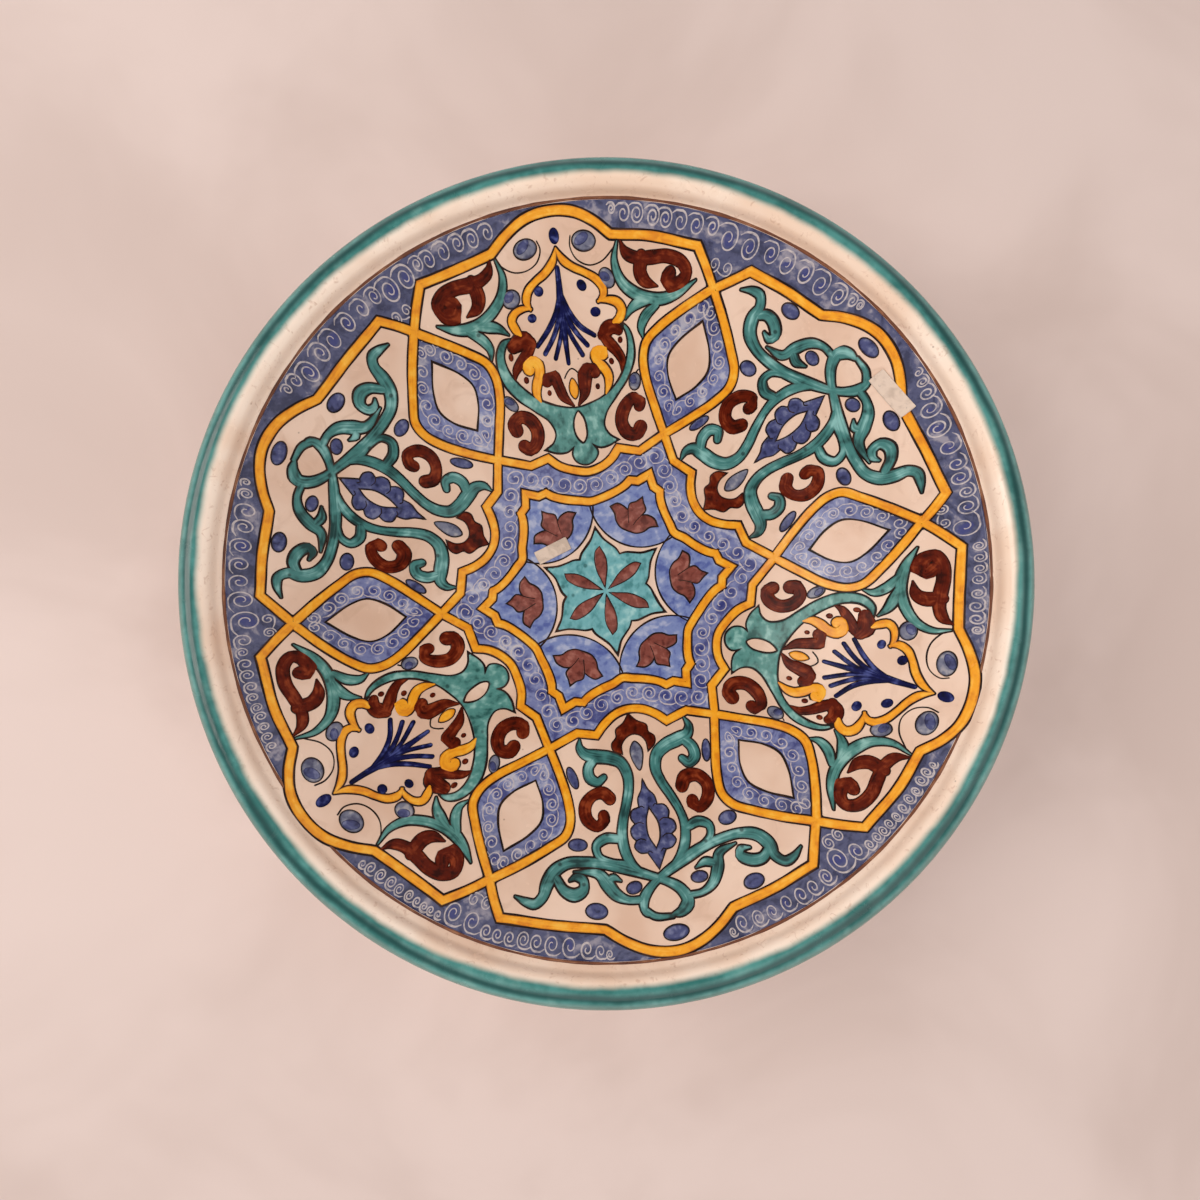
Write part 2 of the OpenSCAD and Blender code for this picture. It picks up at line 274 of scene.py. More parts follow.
def from_edges(points, loops):
    """The distance of each point from the nearest side of the loops."""
    best = np.full(len(points), 1e9)
    batch = 400
    for loop in loops:
        d = np.roll(loop, -1, 0) - loop
        size = np.maximum((d**2).sum(1), 1e-12)
        for start in range(0, len(points), batch):
            part = slice(start, start + batch)
            q = points[part, None] - loop[None]
            t = np.clip((q * d).sum(2) / size, 0, 1)
            gap = np.hypot(*(q - t[..., None] * d).transpose(2, 0, 1)).min(1)
            best[part] = np.minimum(best[part], gap)
    return best


def inside(points, loops):
    """Which points lie within the loops, by the even-odd rule."""
    crossings = np.zeros(len(points), int)
    x, y = points[:, :1], points[:, 1:2]
    for loop in loops:
        ax, ay = loop.T
        bx, by = np.roll(loop, -1, 0).T
        steep = np.where(ay == by, 1e-12, by - ay)
        crossings += (((ay > y) != (by > y)) & (x < (bx - ax) * (y - ay) / steep + ax)).sum(1)
    return crossings % 2 == 1


class Coat:
    """Painted shapes of one colour, gathered into one mesh."""

    def __init__(self, level):
        self.level = level
        self.points = []
        self.faces = []
        self.flat_faces = []
        self.edge = []
        self.flow = []
        self.count = 0
        self.shapes = 0

    def add(self, xy, out, faces, edge, flow, painted):
        """Adds a shape. Its first painted faces are the ones on top, and the rest are shaded flat.
        edge is how far each point is from the shape's edge, and flow runs along and across the brush."""
        self.flat_faces += list(range(len(self.faces) + painted, len(self.faces) + len(faces)))
        self.faces += [tuple(i + self.count for i in face) for face in faces]
        self.points.append(lay_drawing(xy, out))
        self.edge.append(edge)
        self.flow.append(np.column_stack([flow, np.full(len(flow), self.shapes)]))
        self.count += len(xy)
        self.shapes += 1

    def stroke(self, line, closed=False, grow=0.0, waver=0.05, lift=0.0, even=False):
        """A brush stroke along rows of (x, y, width): a low rounded ridge. Its width is as seen
        from above, or, if even, more nearly as measured up the slope of the wall."""
        p = np.array(line, float)
        if closed and np.allclose(p[0, :2], p[-1, :2]):
            p = p[:-1]
        p = p[np.concatenate([[True], np.diff(lengths(p)) > 0.02])]
        p[:, 2] = p[:, 2] * wavering(lengths(p), waver) + grow
        if not closed:
            p = round_caps(p)
        n, m = len(p), len(ACROSS)
        side, bend = mitre(p[:, :2], closed)
        if even:
            radius = np.hypot(p[:, 0], p[:, 1])
            outward = p[:, :2] / radius[:, None]
            squeeze = 0.7 * (1 - np.cos(wall_slope(np.minimum(radius, WALL_R))))
            side -= outward * (side * outward).sum(1, keepdims=True) * squeeze[:, None]
        along = lengths(p)
        step = np.maximum(np.gradient(along), 1e-6)
        half = (p[:, 2] / 2)[:, None] * ACROSS[None]
        turn = np.convolve(np.pad(bend / step, 2, "edge"), np.ones(5) / 5, "valid")[:, None]
        if not closed:
            limit = 0.92 / np.maximum(np.abs(turn), 1e-6)
            short = np.sign(half) * np.minimum(np.abs(half), limit)
            half = np.where(np.sign(half) == np.sign(turn), short, half)
        xy = p[:, None, :2] + side[:, None] * half[..., None]
        rise = np.minimum(p[:, 2] / 2.5, 1)[:, None]
        out = self.level + lift + DOME * rise * (1 - ACROSS**2)[None] - BEVEL * (np.abs(ACROSS) == 1)
        xy = np.concatenate([xy, xy[:, :1], xy[:, -1:]], 1)
        out = np.concatenate([out, np.full((n, 2), SUNK)], 1)
        w = m + 2
        last = n if closed else n - 1
        i = np.arange(last)[:, None]
        i2 = (i + 1) % n
        j = np.arange(m - 1)[None]
        top = np.stack([i * w + j + 1, i * w + j, i2 * w + j, i2 * w + j + 1], -1).reshape(-1, 4)
        strips = [(0, m), (m + 1, m - 1), (m, m + 1)]
        walls = [np.stack([i * w + a, i * w + b, i2 * w + b, i2 * w + a], -1) for a, b in strips]
        walls = np.concatenate(walls).reshape(-1, 4)
        faces = top.tolist() + walls.tolist()
        if not closed:
            first = list(range(m)) + [m + 1, m]
            faces += [tuple(first[::-1]), tuple((n - 1) * w + k for k in first)]
        edge = np.abs(half)[:, -1:] * (1 - np.abs(ACROSS))[None]
        edge = np.concatenate([edge, np.zeros((n, 2))], 1)
        half = np.concatenate([half, half[:, :1], half[:, -1:]], 1)
        flow = np.stack([np.broadcast_to(along[:, None], (n, w)), half], -1).reshape(-1, 2)
        self.add(xy.reshape(-1, 2), out.ravel(), faces, edge.ravel(), flow, len(top))

    def fill(self, outline, holes=(), lift=0.0, grid=GRID):
        """A filled shape with holes, flat but for its softly rounded edge."""
        loops = [np.array(loop, float)[:, :2] for loop in (outline, *holes)]
        rings = []
        for loop in loops:
            side, _ = mitre(loop, True)
            rings += [loop + side * INSET, loop - side * INSET]
        low = loops[0].min(0)
        high = loops[0].max(0)
        across = np.arange(low[0], high[0], grid)
        up = np.arange(low[1], high[1], grid * 0.87)
        field = [(x + (grid / 2 if k % 2 else 0), y) for k, y in enumerate(up) for x in across]
        field = np.array(field).reshape(-1, 2)
        free = []
        for points, gap in ((np.vstack(rings), INSET * 0.8), (field, INSET * 2)):
            points = points[inside(points, loops)]
            free.append(points[from_edges(points, loops) > gap])
        sides = []
        base = 0
        for loop in loops:
            k = np.arange(len(loop))
            sides += np.stack([base + k, base + (k + 1) % len(loop)], 1).tolist()
            base += len(loop)
        points = np.vstack(loops + free)
        verts, _, faces, *_ = delaunay_2d_cdt([Vector(q) for q in points], sides, [], 0, 1e-5, False)
        xy = np.array([v[:] for v in verts])
        tri = np.array(faces)
        tri = tri[inside(xy[tri].mean(1), loops)]
        area = np.cross(xy[tri[:, 1]] - xy[tri[:, 0]], xy[tri[:, 2]] - xy[tri[:, 0]])
        tri[area < 0] = tri[area < 0][:, ::-1]
        used, tri = np.unique(tri, return_inverse=True)
        xy = xy[used]
        tri = tri.reshape(-1, 3)
        directed = np.concatenate([tri[:, [0, 1]], tri[:, [1, 2]], tri[:, [2, 0]]])
        pairs = set(map(tuple, directed.tolist()))
        rim = np.array([e for e in pairs if e[::-1] not in pairs])
        rim = rim[np.lexsort(rim.T)]
        n = len(xy)
        skirt = np.stack([rim[:, 1], rim[:, 0], rim[:, 0] + n, rim[:, 1] + n], 1)
        faces = tri.tolist() + skirt.tolist() + (tri[:, ::-1] + n).tolist()
        edge = from_edges(xy, loops)
        turn = rng.uniform(0, np.pi)
        c, s = np.cos(turn), np.sin(turn)
        flow = np.stack([xy @ (c, s) * 5, xy @ (-s, c) * 0.4], 1)
        out = self.level + lift + DOME * (1 - np.exp(-edge / 0.5)) - BEVEL * (edge < 0.01)
        out = np.concatenate([out, np.full(n, SUNK)])
        edge = np.concatenate([edge, np.zeros(n)])
        self.add(np.vstack([xy, xy]), out, faces, edge, np.vstack([flow, flow]), len(tri))

    def line(self, points, width, closed=False, waver=0.28, lift=0.0):
        """A thin brush line of about one width."""
        p = np.array(points, float)[:, :2]
        self.stroke(np.column_stack([p, np.full(len(p), width)]), closed, 0, waver, lift, True)

    def piece(self, name):
        """The whole coat as one mesh."""
        edge = np.concatenate(self.edge)
        flow = np.vstack(self.flow)
        return make(name, np.vstack(self.points), self.faces, self.flat_faces, edge=edge, flow=flow)


# ---------------------------------------------------------------------------
# Drawing the pattern: millimetres, flat, seen from above, before it is laid on the wall
# ---------------------------------------------------------------------------

# Six spokes part the medallions. Each has its outer and its inner strap crossing, as
# (angle, radius): the painter set them out by eye, so no two are quite 60 degrees apart.
SPOKES = [
    ((11.2, 169.5), (10.7, 99)),
    ((70.1, 168.5), (69.5, 97)),
    ((127.4, 169), (129.7, 98)),
    ((187.2, 167), (188.3, 96)),
    ((248.5, 166), (250.4, 97)),
    ((311.5, 166), (311.1, 95)),
]
PALMETTES = (1, 3, 5)
ARABESQUES = (0, 2, 4)
CLOCKWISE = (0, 5, 4, 3, 2, 1)

# The radii of the crossings that a motif along a spoke is drawn for
SPOKE_IN = 97
SPOKE_OUT = 168


def smooth(points, step=1.0, closed=False):
    """A centripetal Catmull-Rom curve through the points, in short steps. A doubled point is a corner."""
    points = [np.array(p, float) for p in points]
    if closed:
        points.append(points[0])
    runs = []
    run = [points[0]]
    for p in points[1:]:
        if np.allclose(p, run[-1]):
            runs.append(run)
            run = [p]
        else:
            run.append(p)
    runs.append(run)
    runs = [r for r in runs if len(r) > 1]
    out = []
    for run in runs:
        whole = closed and len(runs) == 1
        before = run[-2] if whole else 2 * run[0] - run[1]
        after = run[1] if whole else 2 * run[-1] - run[-2]
        k = [before] + run + [after]
        for a, b, c, d in zip(k, k[1:], k[2:], k[3:]):
            t0, t1, t2 = (max(np.linalg.norm(v[:2]), 1e-6) ** 0.5 for v in (b - a, c - b, d - c))
            m1 = (c - b) + t1 * ((b - a) / t0 - (c - a) / (t0 + t1))
            m2 = (c - b) + t1 * ((d - c) / t2 - (d - b) / (t1 + t2))
            n = max(2, int(np.linalg.norm((c - b)[:2]) / step))
            for u in np.arange(n) / n:
                out.append((2 * u**3 - 3 * u**2 + 1) * b + (u**3 - 2 * u**2 + u) * m1
                           + (3 * u**2 - 2 * u**3) * c + (u**3 - u**2) * m2)
        if not closed and run is runs[-1]:
            out.append(run[-1])
    return np.array(out)


def flipped(points):
    """A stroke or outline mirrored in the motif's axis."""
    return [(-p[0],) + tuple(p[1:]) for p in points]


def ellipse(x, y, rx, ry, turn=0, n=28):
    """An outline of n points round (x, y)."""
    a = np.arange(n) * 2 * np.pi / n
    c, s = np.cos(np.radians(turn)), np.sin(np.radians(turn))
    u = rx * np.cos(a)
    v = ry * np.sin(a)
    return np.stack([x + u * c - v * s, y + u * s + v * c], 1)


def polar(angle, radius):
    """The points at angles in degrees and radii."""
    return np.stack([radius * np.cos(np.radians(angle)), radius * np.sin(np.radians(angle))], -1)


def stretched(r, knots, targets):
    """Radii moved piece by piece, so that each knot lands on its target."""
    out = np.zeros_like(r)
    for k0, k1, t0, t1 in zip(knots, knots[1:], targets, targets[1:]):
        between = (r >= k0) & ((r < k1) | (k1 == knots[-1]))
        out = np.where(between, t0 + (r - k0) * (t1 - t0) / (k1 - k0), out)
    return out


def bearings(points):
    """The points as rows, with the radius of each and its angle clockwise from +Y, in degrees."""
    p = np.array(points, float)
    return p, np.hypot(p[:, 0], p[:, 1]), np.degrees(np.arctan2(p[:, 0], p[:, 1]))


def moved(p, r, angle, home, here):
    """The rows moved to new angles, with their radii stretched so that home's inner and outer
    crossing radii land on here's. Any further columns, such as a stroke's width, stay."""
    knots = (0, *home, BORDER_R, PAST_BORDER)
    targets = (0, *here, BORDER_R, PAST_BORDER)
    return np.column_stack([polar(angle, stretched(r, knots, targets)), p[:, 2:]])


def medallion(index, home):
    """Maps a motif, drawn upright with +Y outwards, into the medallion after spoke number index.

    home is the motif's own frame: the angles of its left and right spokes and the radii of
    its crossings, ((outer left, outer right), (inner left, inner right), outer r, inner r).
    """
    (right_out, right_in), (left_out, left_in) = SPOKES[index], SPOKES[(index + 1) % 6]
    turn = 360 if index == 5 else 0
    (out_l, out_r), (in_l, in_r), home_out, home_in = home

    def place(points):
        p, r, a = bearings(points)
        t = np.clip((r - home_in) / (home_out - home_in), 0, 1)
        s = (a - mix(in_l, out_l, t)) / (mix(in_r, out_r, t) - mix(in_l, out_l, t))
        angle = mix(mix(left_in[0], left_out[0], t) + turn, mix(right_in[0], right_out[0], t), s)
        here = (mix(left_in[1], right_in[1], s), mix(left_out[1], right_out[1], s))
        return moved(p, r, angle, (home_in, home_out), here)

    return place


def spoke(index):
    """Maps a motif drawn with +Y along a spoke, for a sixth of the rosette or a lozenge."""
    outer, inner = SPOKES[index]
    gaps = [(SPOKES[(index + d) % 6][1][0] - inner[0] + 180) % 360 - 180 for d in (-1, 1)]

    def place(points):
        p, r, a = bearings(points)
        t = np.clip((r - SPOKE_IN) / (SPOKE_OUT - SPOKE_IN), 0, 1)
        angle = mix(inner[0], outer[0], t) + np.where(a > 0, a * gaps[0] / 60, -a * gaps[1] / 60)
        return moved(p, r, angle, (SPOKE_IN, SPOKE_OUT), (inner[1], outer[1]))

    return place


# The palmette's and the arabesque's own frames
PALMETTE_HOME = ((-28.9, 28.7), (-30.6, 29.6), 169.7, 97.1)
ARABESQUE_HOME = ((-31.6, 31.6), (-31.1, 30.0), 166.4, 95.8)

# Medallion straps, along their middle, from the left outer crossing over the top and round
PALMETTE_STRAP = [
    (-82, 148.7), (-82, 148.7), (-78, 158), (-73, 167.5), (-73, 167.5), (-55, 172.8), (-34, 178.7),
    (-34, 178.7), (-25, 184.5), (-14, 189.3), (-1, 191), (11, 189.7), (21, 185.6), (29.5, 179.8),
    (29.5, 179.8), (50, 175.6), (74, 166.6), (74, 166.6), (78, 158), (81.5, 149), (81.5, 149),
    (66, 144.6), (52, 139), (44, 133.5), (41.3, 126), (41.5, 116), (44.5, 101), (48, 84.7), (48, 84.7),
    (32.5, 77.7), (32.5, 77.7), (20.5, 81.3), (20.5, 81.3), (15.5, 76), (9, 72.4), (1.5, 70.8),
    (-6, 72.3), (-15, 76), (-21, 81.3), (-21, 81.3), (-31.5, 78.3), (-31.5, 78.3), (-49.5, 83.8),
    (-49.5, 83.8), (-46, 101), (-43, 116), (-43.3, 127), (-47, 134), (-56, 139), (-69, 144.3)
]
ARABESQUE_STRAP = [
    (-87, 141.8), (-87, 141.8), (-82.5, 152), (-79, 160), (-79, 160), (-58, 168.3), (-35, 174.5),
    (-35, 174.5), (-26, 180.5), (-15, 185.3), (-4, 187.3), (10, 185.7), (22, 180.7), (31.5, 174.6),
    (31.5, 174.6), (58, 167.6), (83.5, 158.7), (83.5, 158.7), (86, 150), (87.5, 142), (87.5, 142),
    (71, 138.8), (55, 134.2), (46, 130.5), (42.5, 124.5), (42, 115), (44.2, 100), (47.8, 83.2),
    (47.8, 83.2), (31, 78), (31, 78), (20.3, 81.3), (20.3, 81.3), (14.5, 76), (7.5, 71.8), (0, 70.3),
    (-8.5, 71.8), (-16, 76), (-21.5, 81), (-21.5, 81), (-34, 77.3), (-34, 77.3), (-49.5, 82.2),
    (-49.5, 82.2), (-46, 99), (-43.3, 114), (-43.5, 124), (-48, 130), (-58, 134.3), (-72, 138.6)
]

# One sixth of the star strap: a tip with its two ears, then half of the cove on each side
STAR_TIP = [
    (-9.6, 66.2), (-9.6, 66.2), (-5, 67.4), (-5, 67.4), (0, 73.4), (0, 73.4), (5, 67.4), (5, 67.4),
    (9.6, 66.2), (9.6, 66.2)
]
STAR_COVE = [(10.8, 63.2), (13.4, 59.3), (17.6, 54.6), (22.2, 50.2), (26.5, 46.2)]

# The paths of spirals: half of the one round the star, and the one where the straps cross
TOP_PATH = [(-7, 176.5), (0, 177), (7, 176.5)]
SCROLL_PATH = [(0, 83.5), (8, 77.5), (14, 71), (19.5, 64.5), (25.5, 58.5), (31, 54)]
LOZENGE = [
    (0, 154.5), (0, 154.5), (9, 143), (12, 134.5), (8.8, 126), (0, 116), (0, 116), (-8.8, 126),
    (-12, 134.5), (-9, 143)
]

# Rosette: a lobe on each spoke, and half of one of the star's points
LOBE = (0, 61.6, 31.8)
STAR_POINT = [(0, 23.4), (0, 23.4), (3.2, 25.6), (7.6, 26.9), (12.6, 28.5), (18.7, 32.4), (18.7, 32.4)]
PETAL = [
    (0, 2), (1.4, 7), (3.1, 14), (3.2, 20), (0.8, 26.6), (0.8, 26.6), (-2, 24.4), (-3.4, 18.5),
    (-3.1, 12.5), (-1.3, 6.5)
]
FLOWER = [
    (0.4, 38.2), (5.2, 38.6), (9, 41.2), (11.2, 44.4), (15.4, 46.6), (15.4, 46.6), (12.2, 49.8),
    (7.6, 50.6), (4.2, 49.4), (4.2, 49.4), (5.4, 53.2), (2.6, 56.8), (0.9, 59.4), (0.9, 59.4),
    (-1.4, 56), (-4.6, 53.4), (-4.4, 49.6), (-4.4, 49.6), (-8, 50.8), (-11.6, 51), (-14.6, 48),
    (-14.6, 48), (-10.8, 45), (-8.8, 41.6), (-5, 38.8)
]
FLOWER_VEINS = [
    [(4.2, 49.4), (2.8, 46.4), (1.6, 42.6)],
    [(-4.4, 49.6), (-3, 46.4), (-1.4, 42.8)]
]

# Palmette: brush strokes are (x, y, width), outlines are (x, y)
VASE = [
    (-31, 144.5), (-31, 144.5), (-36.5, 143.5), (-40.3, 138.5), (-41.2, 131), (-38.8, 122.5),
    (-32.5, 114.5), (-24, 107.5), (-16.5, 101), (-14, 94), (-16.3, 89), (-21, 86), (-21, 86),
    (-15, 83.6), (-9, 83.5), (-4.8, 86), (-4.8, 86), (-6.2, 81.5), (-4.5, 77.2), (0.5, 75), (5.5, 76.6),
    (8.3, 81), (5.8, 86), (5.8, 86), (10, 83.6), (15, 83.8), (21, 86), (21, 86), (16.5, 89.5),
    (14.3, 95), (16.5, 101.5), (24, 110), (31, 117.5), (35.7, 126), (36.6, 134), (34.8, 141),
    (30.5, 145.5), (30.5, 145.5), (33.4, 138.5), (32.6, 129), (27.5, 119), (19, 111.8), (9, 108),
    (0, 106.6), (-9.5, 108.3), (-19.5, 112.5), (-28.5, 119.5), (-35, 128), (-36.8, 136), (-34.5, 141.5)
]
VASE_EYE = [
    (0.5, 105), (-2.6, 101), (-3.6, 95.5), (-2.4, 90), (0.8, 86.8), (3.6, 90), (4.3, 96), (3.2, 101.5)
]
# Green sprigs beside the vase, left and right
SPRIGS = [
    [(-32.5, 176.5, 0.6), (-30.4, 170.5, 2.8), (-32.5, 163.5, 3.8), (-38.5, 157, 4.2), (-46, 152.3, 4.2),
     (-53, 149.8, 5), (-61, 149.6, 3.8), (-69.5, 151.2, 0.5)],
    [(-49, 150.3, 2.4), (-42.5, 150.4, 4.8), (-37, 149.2, 3.6), (-32.3, 146.3, 0.5)],
    [(-54, 148.6, 3), (-47, 144.8, 4.8), (-43.8, 140.5, 3.6), (-44, 135.3, 0.5)],
    [(32.5, 177, 0.6), (30.3, 170.5, 2.8), (32.8, 162.5, 4.2), (39, 156.5, 4.8), (46.5, 152.8, 4.4),
     (54, 150.8, 4.6), (63, 151.4, 3.6), (72.5, 154.5, 0.5)],
    [(47, 151.3, 2.4), (41, 151.4, 4.6), (37, 149.6, 3.4), (33.5, 145.8, 0.5)],
    [(51, 148.8, 3), (44.5, 145, 4.6), (41.8, 140.5, 3.6), (42.2, 135.8, 0.5)]
]
# Ochre: the arch, left and right, and the two curls
ARCH_STROKES = [
    [(0, 178.5, 1), (-2.4, 174.3, 3.2), (-7.5, 170.4, 3.2), (-13.5, 167.4, 2.8), (-18.2, 163.7, 3.6),
     (-19.7, 159.7, 3.8), (-18.2, 156.3, 1.2)],
    [(-17.6, 156.6, 0.8), (-22, 157, 2.4), (-27, 155.3, 3.2), (-29.4, 152, 4), (-27.8, 148, 4),
     (-25.8, 145.6, 2.4)],
    [(0, 178.5, 1), (2.6, 174.6, 3.2), (7.5, 171.3, 3), (13.5, 168.6, 2.8), (19.3, 165.2, 3.2),
     (22.8, 161.2, 3.8), (22.6, 157.8, 3.4), (19.6, 155.6, 1.2)],
    [(19.2, 155.9, 0.8), (25, 155.6, 2.8), (30, 153.6, 4), (32, 150, 4.6), (30.2, 146.6, 4.4),
     (27, 145.4, 2.4)],
    [(-23.9, 129.6, 6.6), (-24, 131.2, 7.6), (-21.6, 132.8, 7), (-18.4, 130.6, 5.6), (-18.6, 125.6, 5.2),
     (-20.8, 121, 5), (-21.6, 116.5, 4.2), (-20, 111.8, 1.2)],
    [(18.9, 132.2, 6.6), (19.2, 133.4, 7.2), (16.8, 134.2, 7.4), (14.6, 132.2, 6), (15.4, 128.6, 5),
     (18.6, 124.6, 5), (20.4, 121, 4.8), (20.2, 116.8, 4), (18, 111.8, 1.2)]
]
# Brown scrolls: the tails and heads of the shell, the fork, and the big leaves
SCROLL_STROKES = [
    [(-21.5, 139.5, 5.3), (-24.5, 135.8, 6), (-28.8, 132, 5), (-31.6, 128.5, 3.6), (-32.6, 124.5, 0.6)],
    [(-21, 141.4, 6.4), (-23.4, 142.7, 8.6), (-27, 142.4, 8.6), (-31, 140.6, 6.4)],
    [(20.8, 139.6, 5.3), (23.4, 136, 5.8), (27, 131.6, 5), (29.2, 127, 4.1), (28.4, 121.4, 0.6)],
    [(19.5, 140.6, 5), (22.4, 142.8, 7.4), (26.6, 143.2, 6.7), (29.2, 141.2, 4.3)],
    [(-14.9, 122.6, 6.6), (-14.6, 124, 7.6), (-10.8, 124.2, 7), (-8.6, 119, 6), (-6.6, 113.4, 5.2),
     (-1.6, 107.8, 1)],
    [(13, 123.8, 6.6), (12.4, 125.2, 7.8), (8.4, 125.8, 8.4), (6.8, 120.4, 7.6), (5.6, 113.6, 5.6),
     (1.4, 107.8, 1)],
    [(-46.5, 168, 7), (-45.2, 163, 7.5), (-47, 158.6, 5.4), (-53, 155, 0.6)],
    [(-35.4, 176.8, 0.6), (-37, 172.6, 4.1), (-42, 169.4, 4.7), (-49, 167.6, 5.6), (-57, 166.2, 5.4),
     (-64, 163, 5.6), (-67, 158.8, 6.2), (-64, 155.6, 7.2), (-59.2, 156, 8.4), (-57.6, 159.2, 8),
     (-60.6, 161, 6)],
    [(44.4, 168.6, 7), (43.6, 163.8, 6.8), (46.2, 159.6, 5.4), (52.4, 156.4, 0.6)],
    [(34, 177.2, 0.6), (36.4, 172.4, 4.2), (42.6, 169.2, 4.7), (50, 168, 5.4), (58, 166.8, 5.2),
     (65.6, 162.8, 5.2), (67.8, 158.4, 5.8), (64.6, 155.4, 6.4), (59.6, 155.2, 7.6), (57.4, 158, 8),
     (59, 159.8, 6.6)]
]
SEED = [(-0.4, 122), (-2.4, 118.6), (-2.2, 114), (0, 111.4), (2, 114), (2, 118.6)]
SEED_HOOD = [(-4.6, 122.6), (-2.6, 125.4), (0, 127), (2.8, 125.2), (4.6, 122.4)]
SPRAY = [
    [(-0.6, 171.4, 2.4), (-0.8, 165, 3), (-1.2, 158, 4), (-1.4, 150, 4.2), (-1.2, 141, 2.8),
     (-1.2, 129.8, 2)],
    [(-1.6, 161, 1.4), (-4.6, 153.5, 2.4), (-9.6, 147, 2.4), (-17.2, 139.8, 2)],
    [(-1.8, 156, 1.8), (-4.6, 148, 2.4), (-8.8, 141.4, 2.2), (-13.6, 135.8, 2.2)],
    [(-1.4, 151, 1.8), (-3.4, 143.4, 2.1), (-8, 133, 2.2)],
    [(0, 161, 1.4), (3, 153, 2.4), (7.8, 146.4, 2.4), (15.4, 141, 2)],
    [(0, 156, 1.8), (2.8, 148, 2.4), (6.8, 141.8, 2.2), (10.8, 137, 2.2)],
    [(-0.6, 151, 1.8), (2, 143.2, 2.1), (7.4, 132.8, 2.2)]
]
SPRAY_DOTS = [
    (0, 182.8, 2.7, 2.8, 0), (-12.3, 163.5, 2.6, 2.2, 0), (11.4, 163.5, 2.9, 2.2, -35),
    (-18, 152.5, 2.5, 2, 5), (17.4, 151.4, 2.9, 2.2, -12)
]
SHELL_DOTS = [
    (-33, 135.8, 1.4, 1.9, 0), (-26.4, 124, 1.5, 1.8, 0), (-14.4, 116.2, 1.2, 1.5, 0),
    (13.6, 116, 1.3, 1.6, 0), (23.2, 127.4, 1.4, 1.7, 20), (29.4, 136.8, 1.4, 1.6, 0)
]
PALMETTE_OVALS = [
    (-16, 179.4, 6, 3.3, 8), (15.2, 179.5, 6, 3.4, -8), (-27.8, 161.3, 4.7, 3.6, 15),
    (25.4, 164.5, 4.6, 3.4, -48), (-37.2, 112.8, 2.7, 4.7, 42), (35, 115.3, 3.1, 4.3, -12)
]
PALMETTE_TAILS = [
    [(-9.4, 181.8), (-8.2, 179), (-10.6, 174.8), (-16.5, 172), (-24, 171.6), (-30, 174), (-33, 177)],
    [(8.4, 182), (7.6, 178.6), (10, 174), (16.5, 170.8), (24, 171.4), (30.5, 175)],
    [(36, 119.3), (37.6, 120.8)]
]
PALMETTE_COMMAS = [
    [(-36.4, 98.6, 7.6), (-37, 101.8, 7.8), (-33.4, 105.4, 6.4), (-28, 103.4, 7.3), (-24.6, 97.2, 7.5),
     (-26, 90.4, 7.5), (-30.2, 87.4, 7.2), (-33.2, 89.4, 7.4)],
    [(36, 102.4, 6.4), (36.4, 104.4, 6.6), (32.8, 106.8, 5.9), (27.4, 102.6, 7.3), (24.6, 95.4, 7.3),
     (27.2, 88.8, 7.4), (32.4, 87.4, 7.4), (35, 90.6, 8)]
]

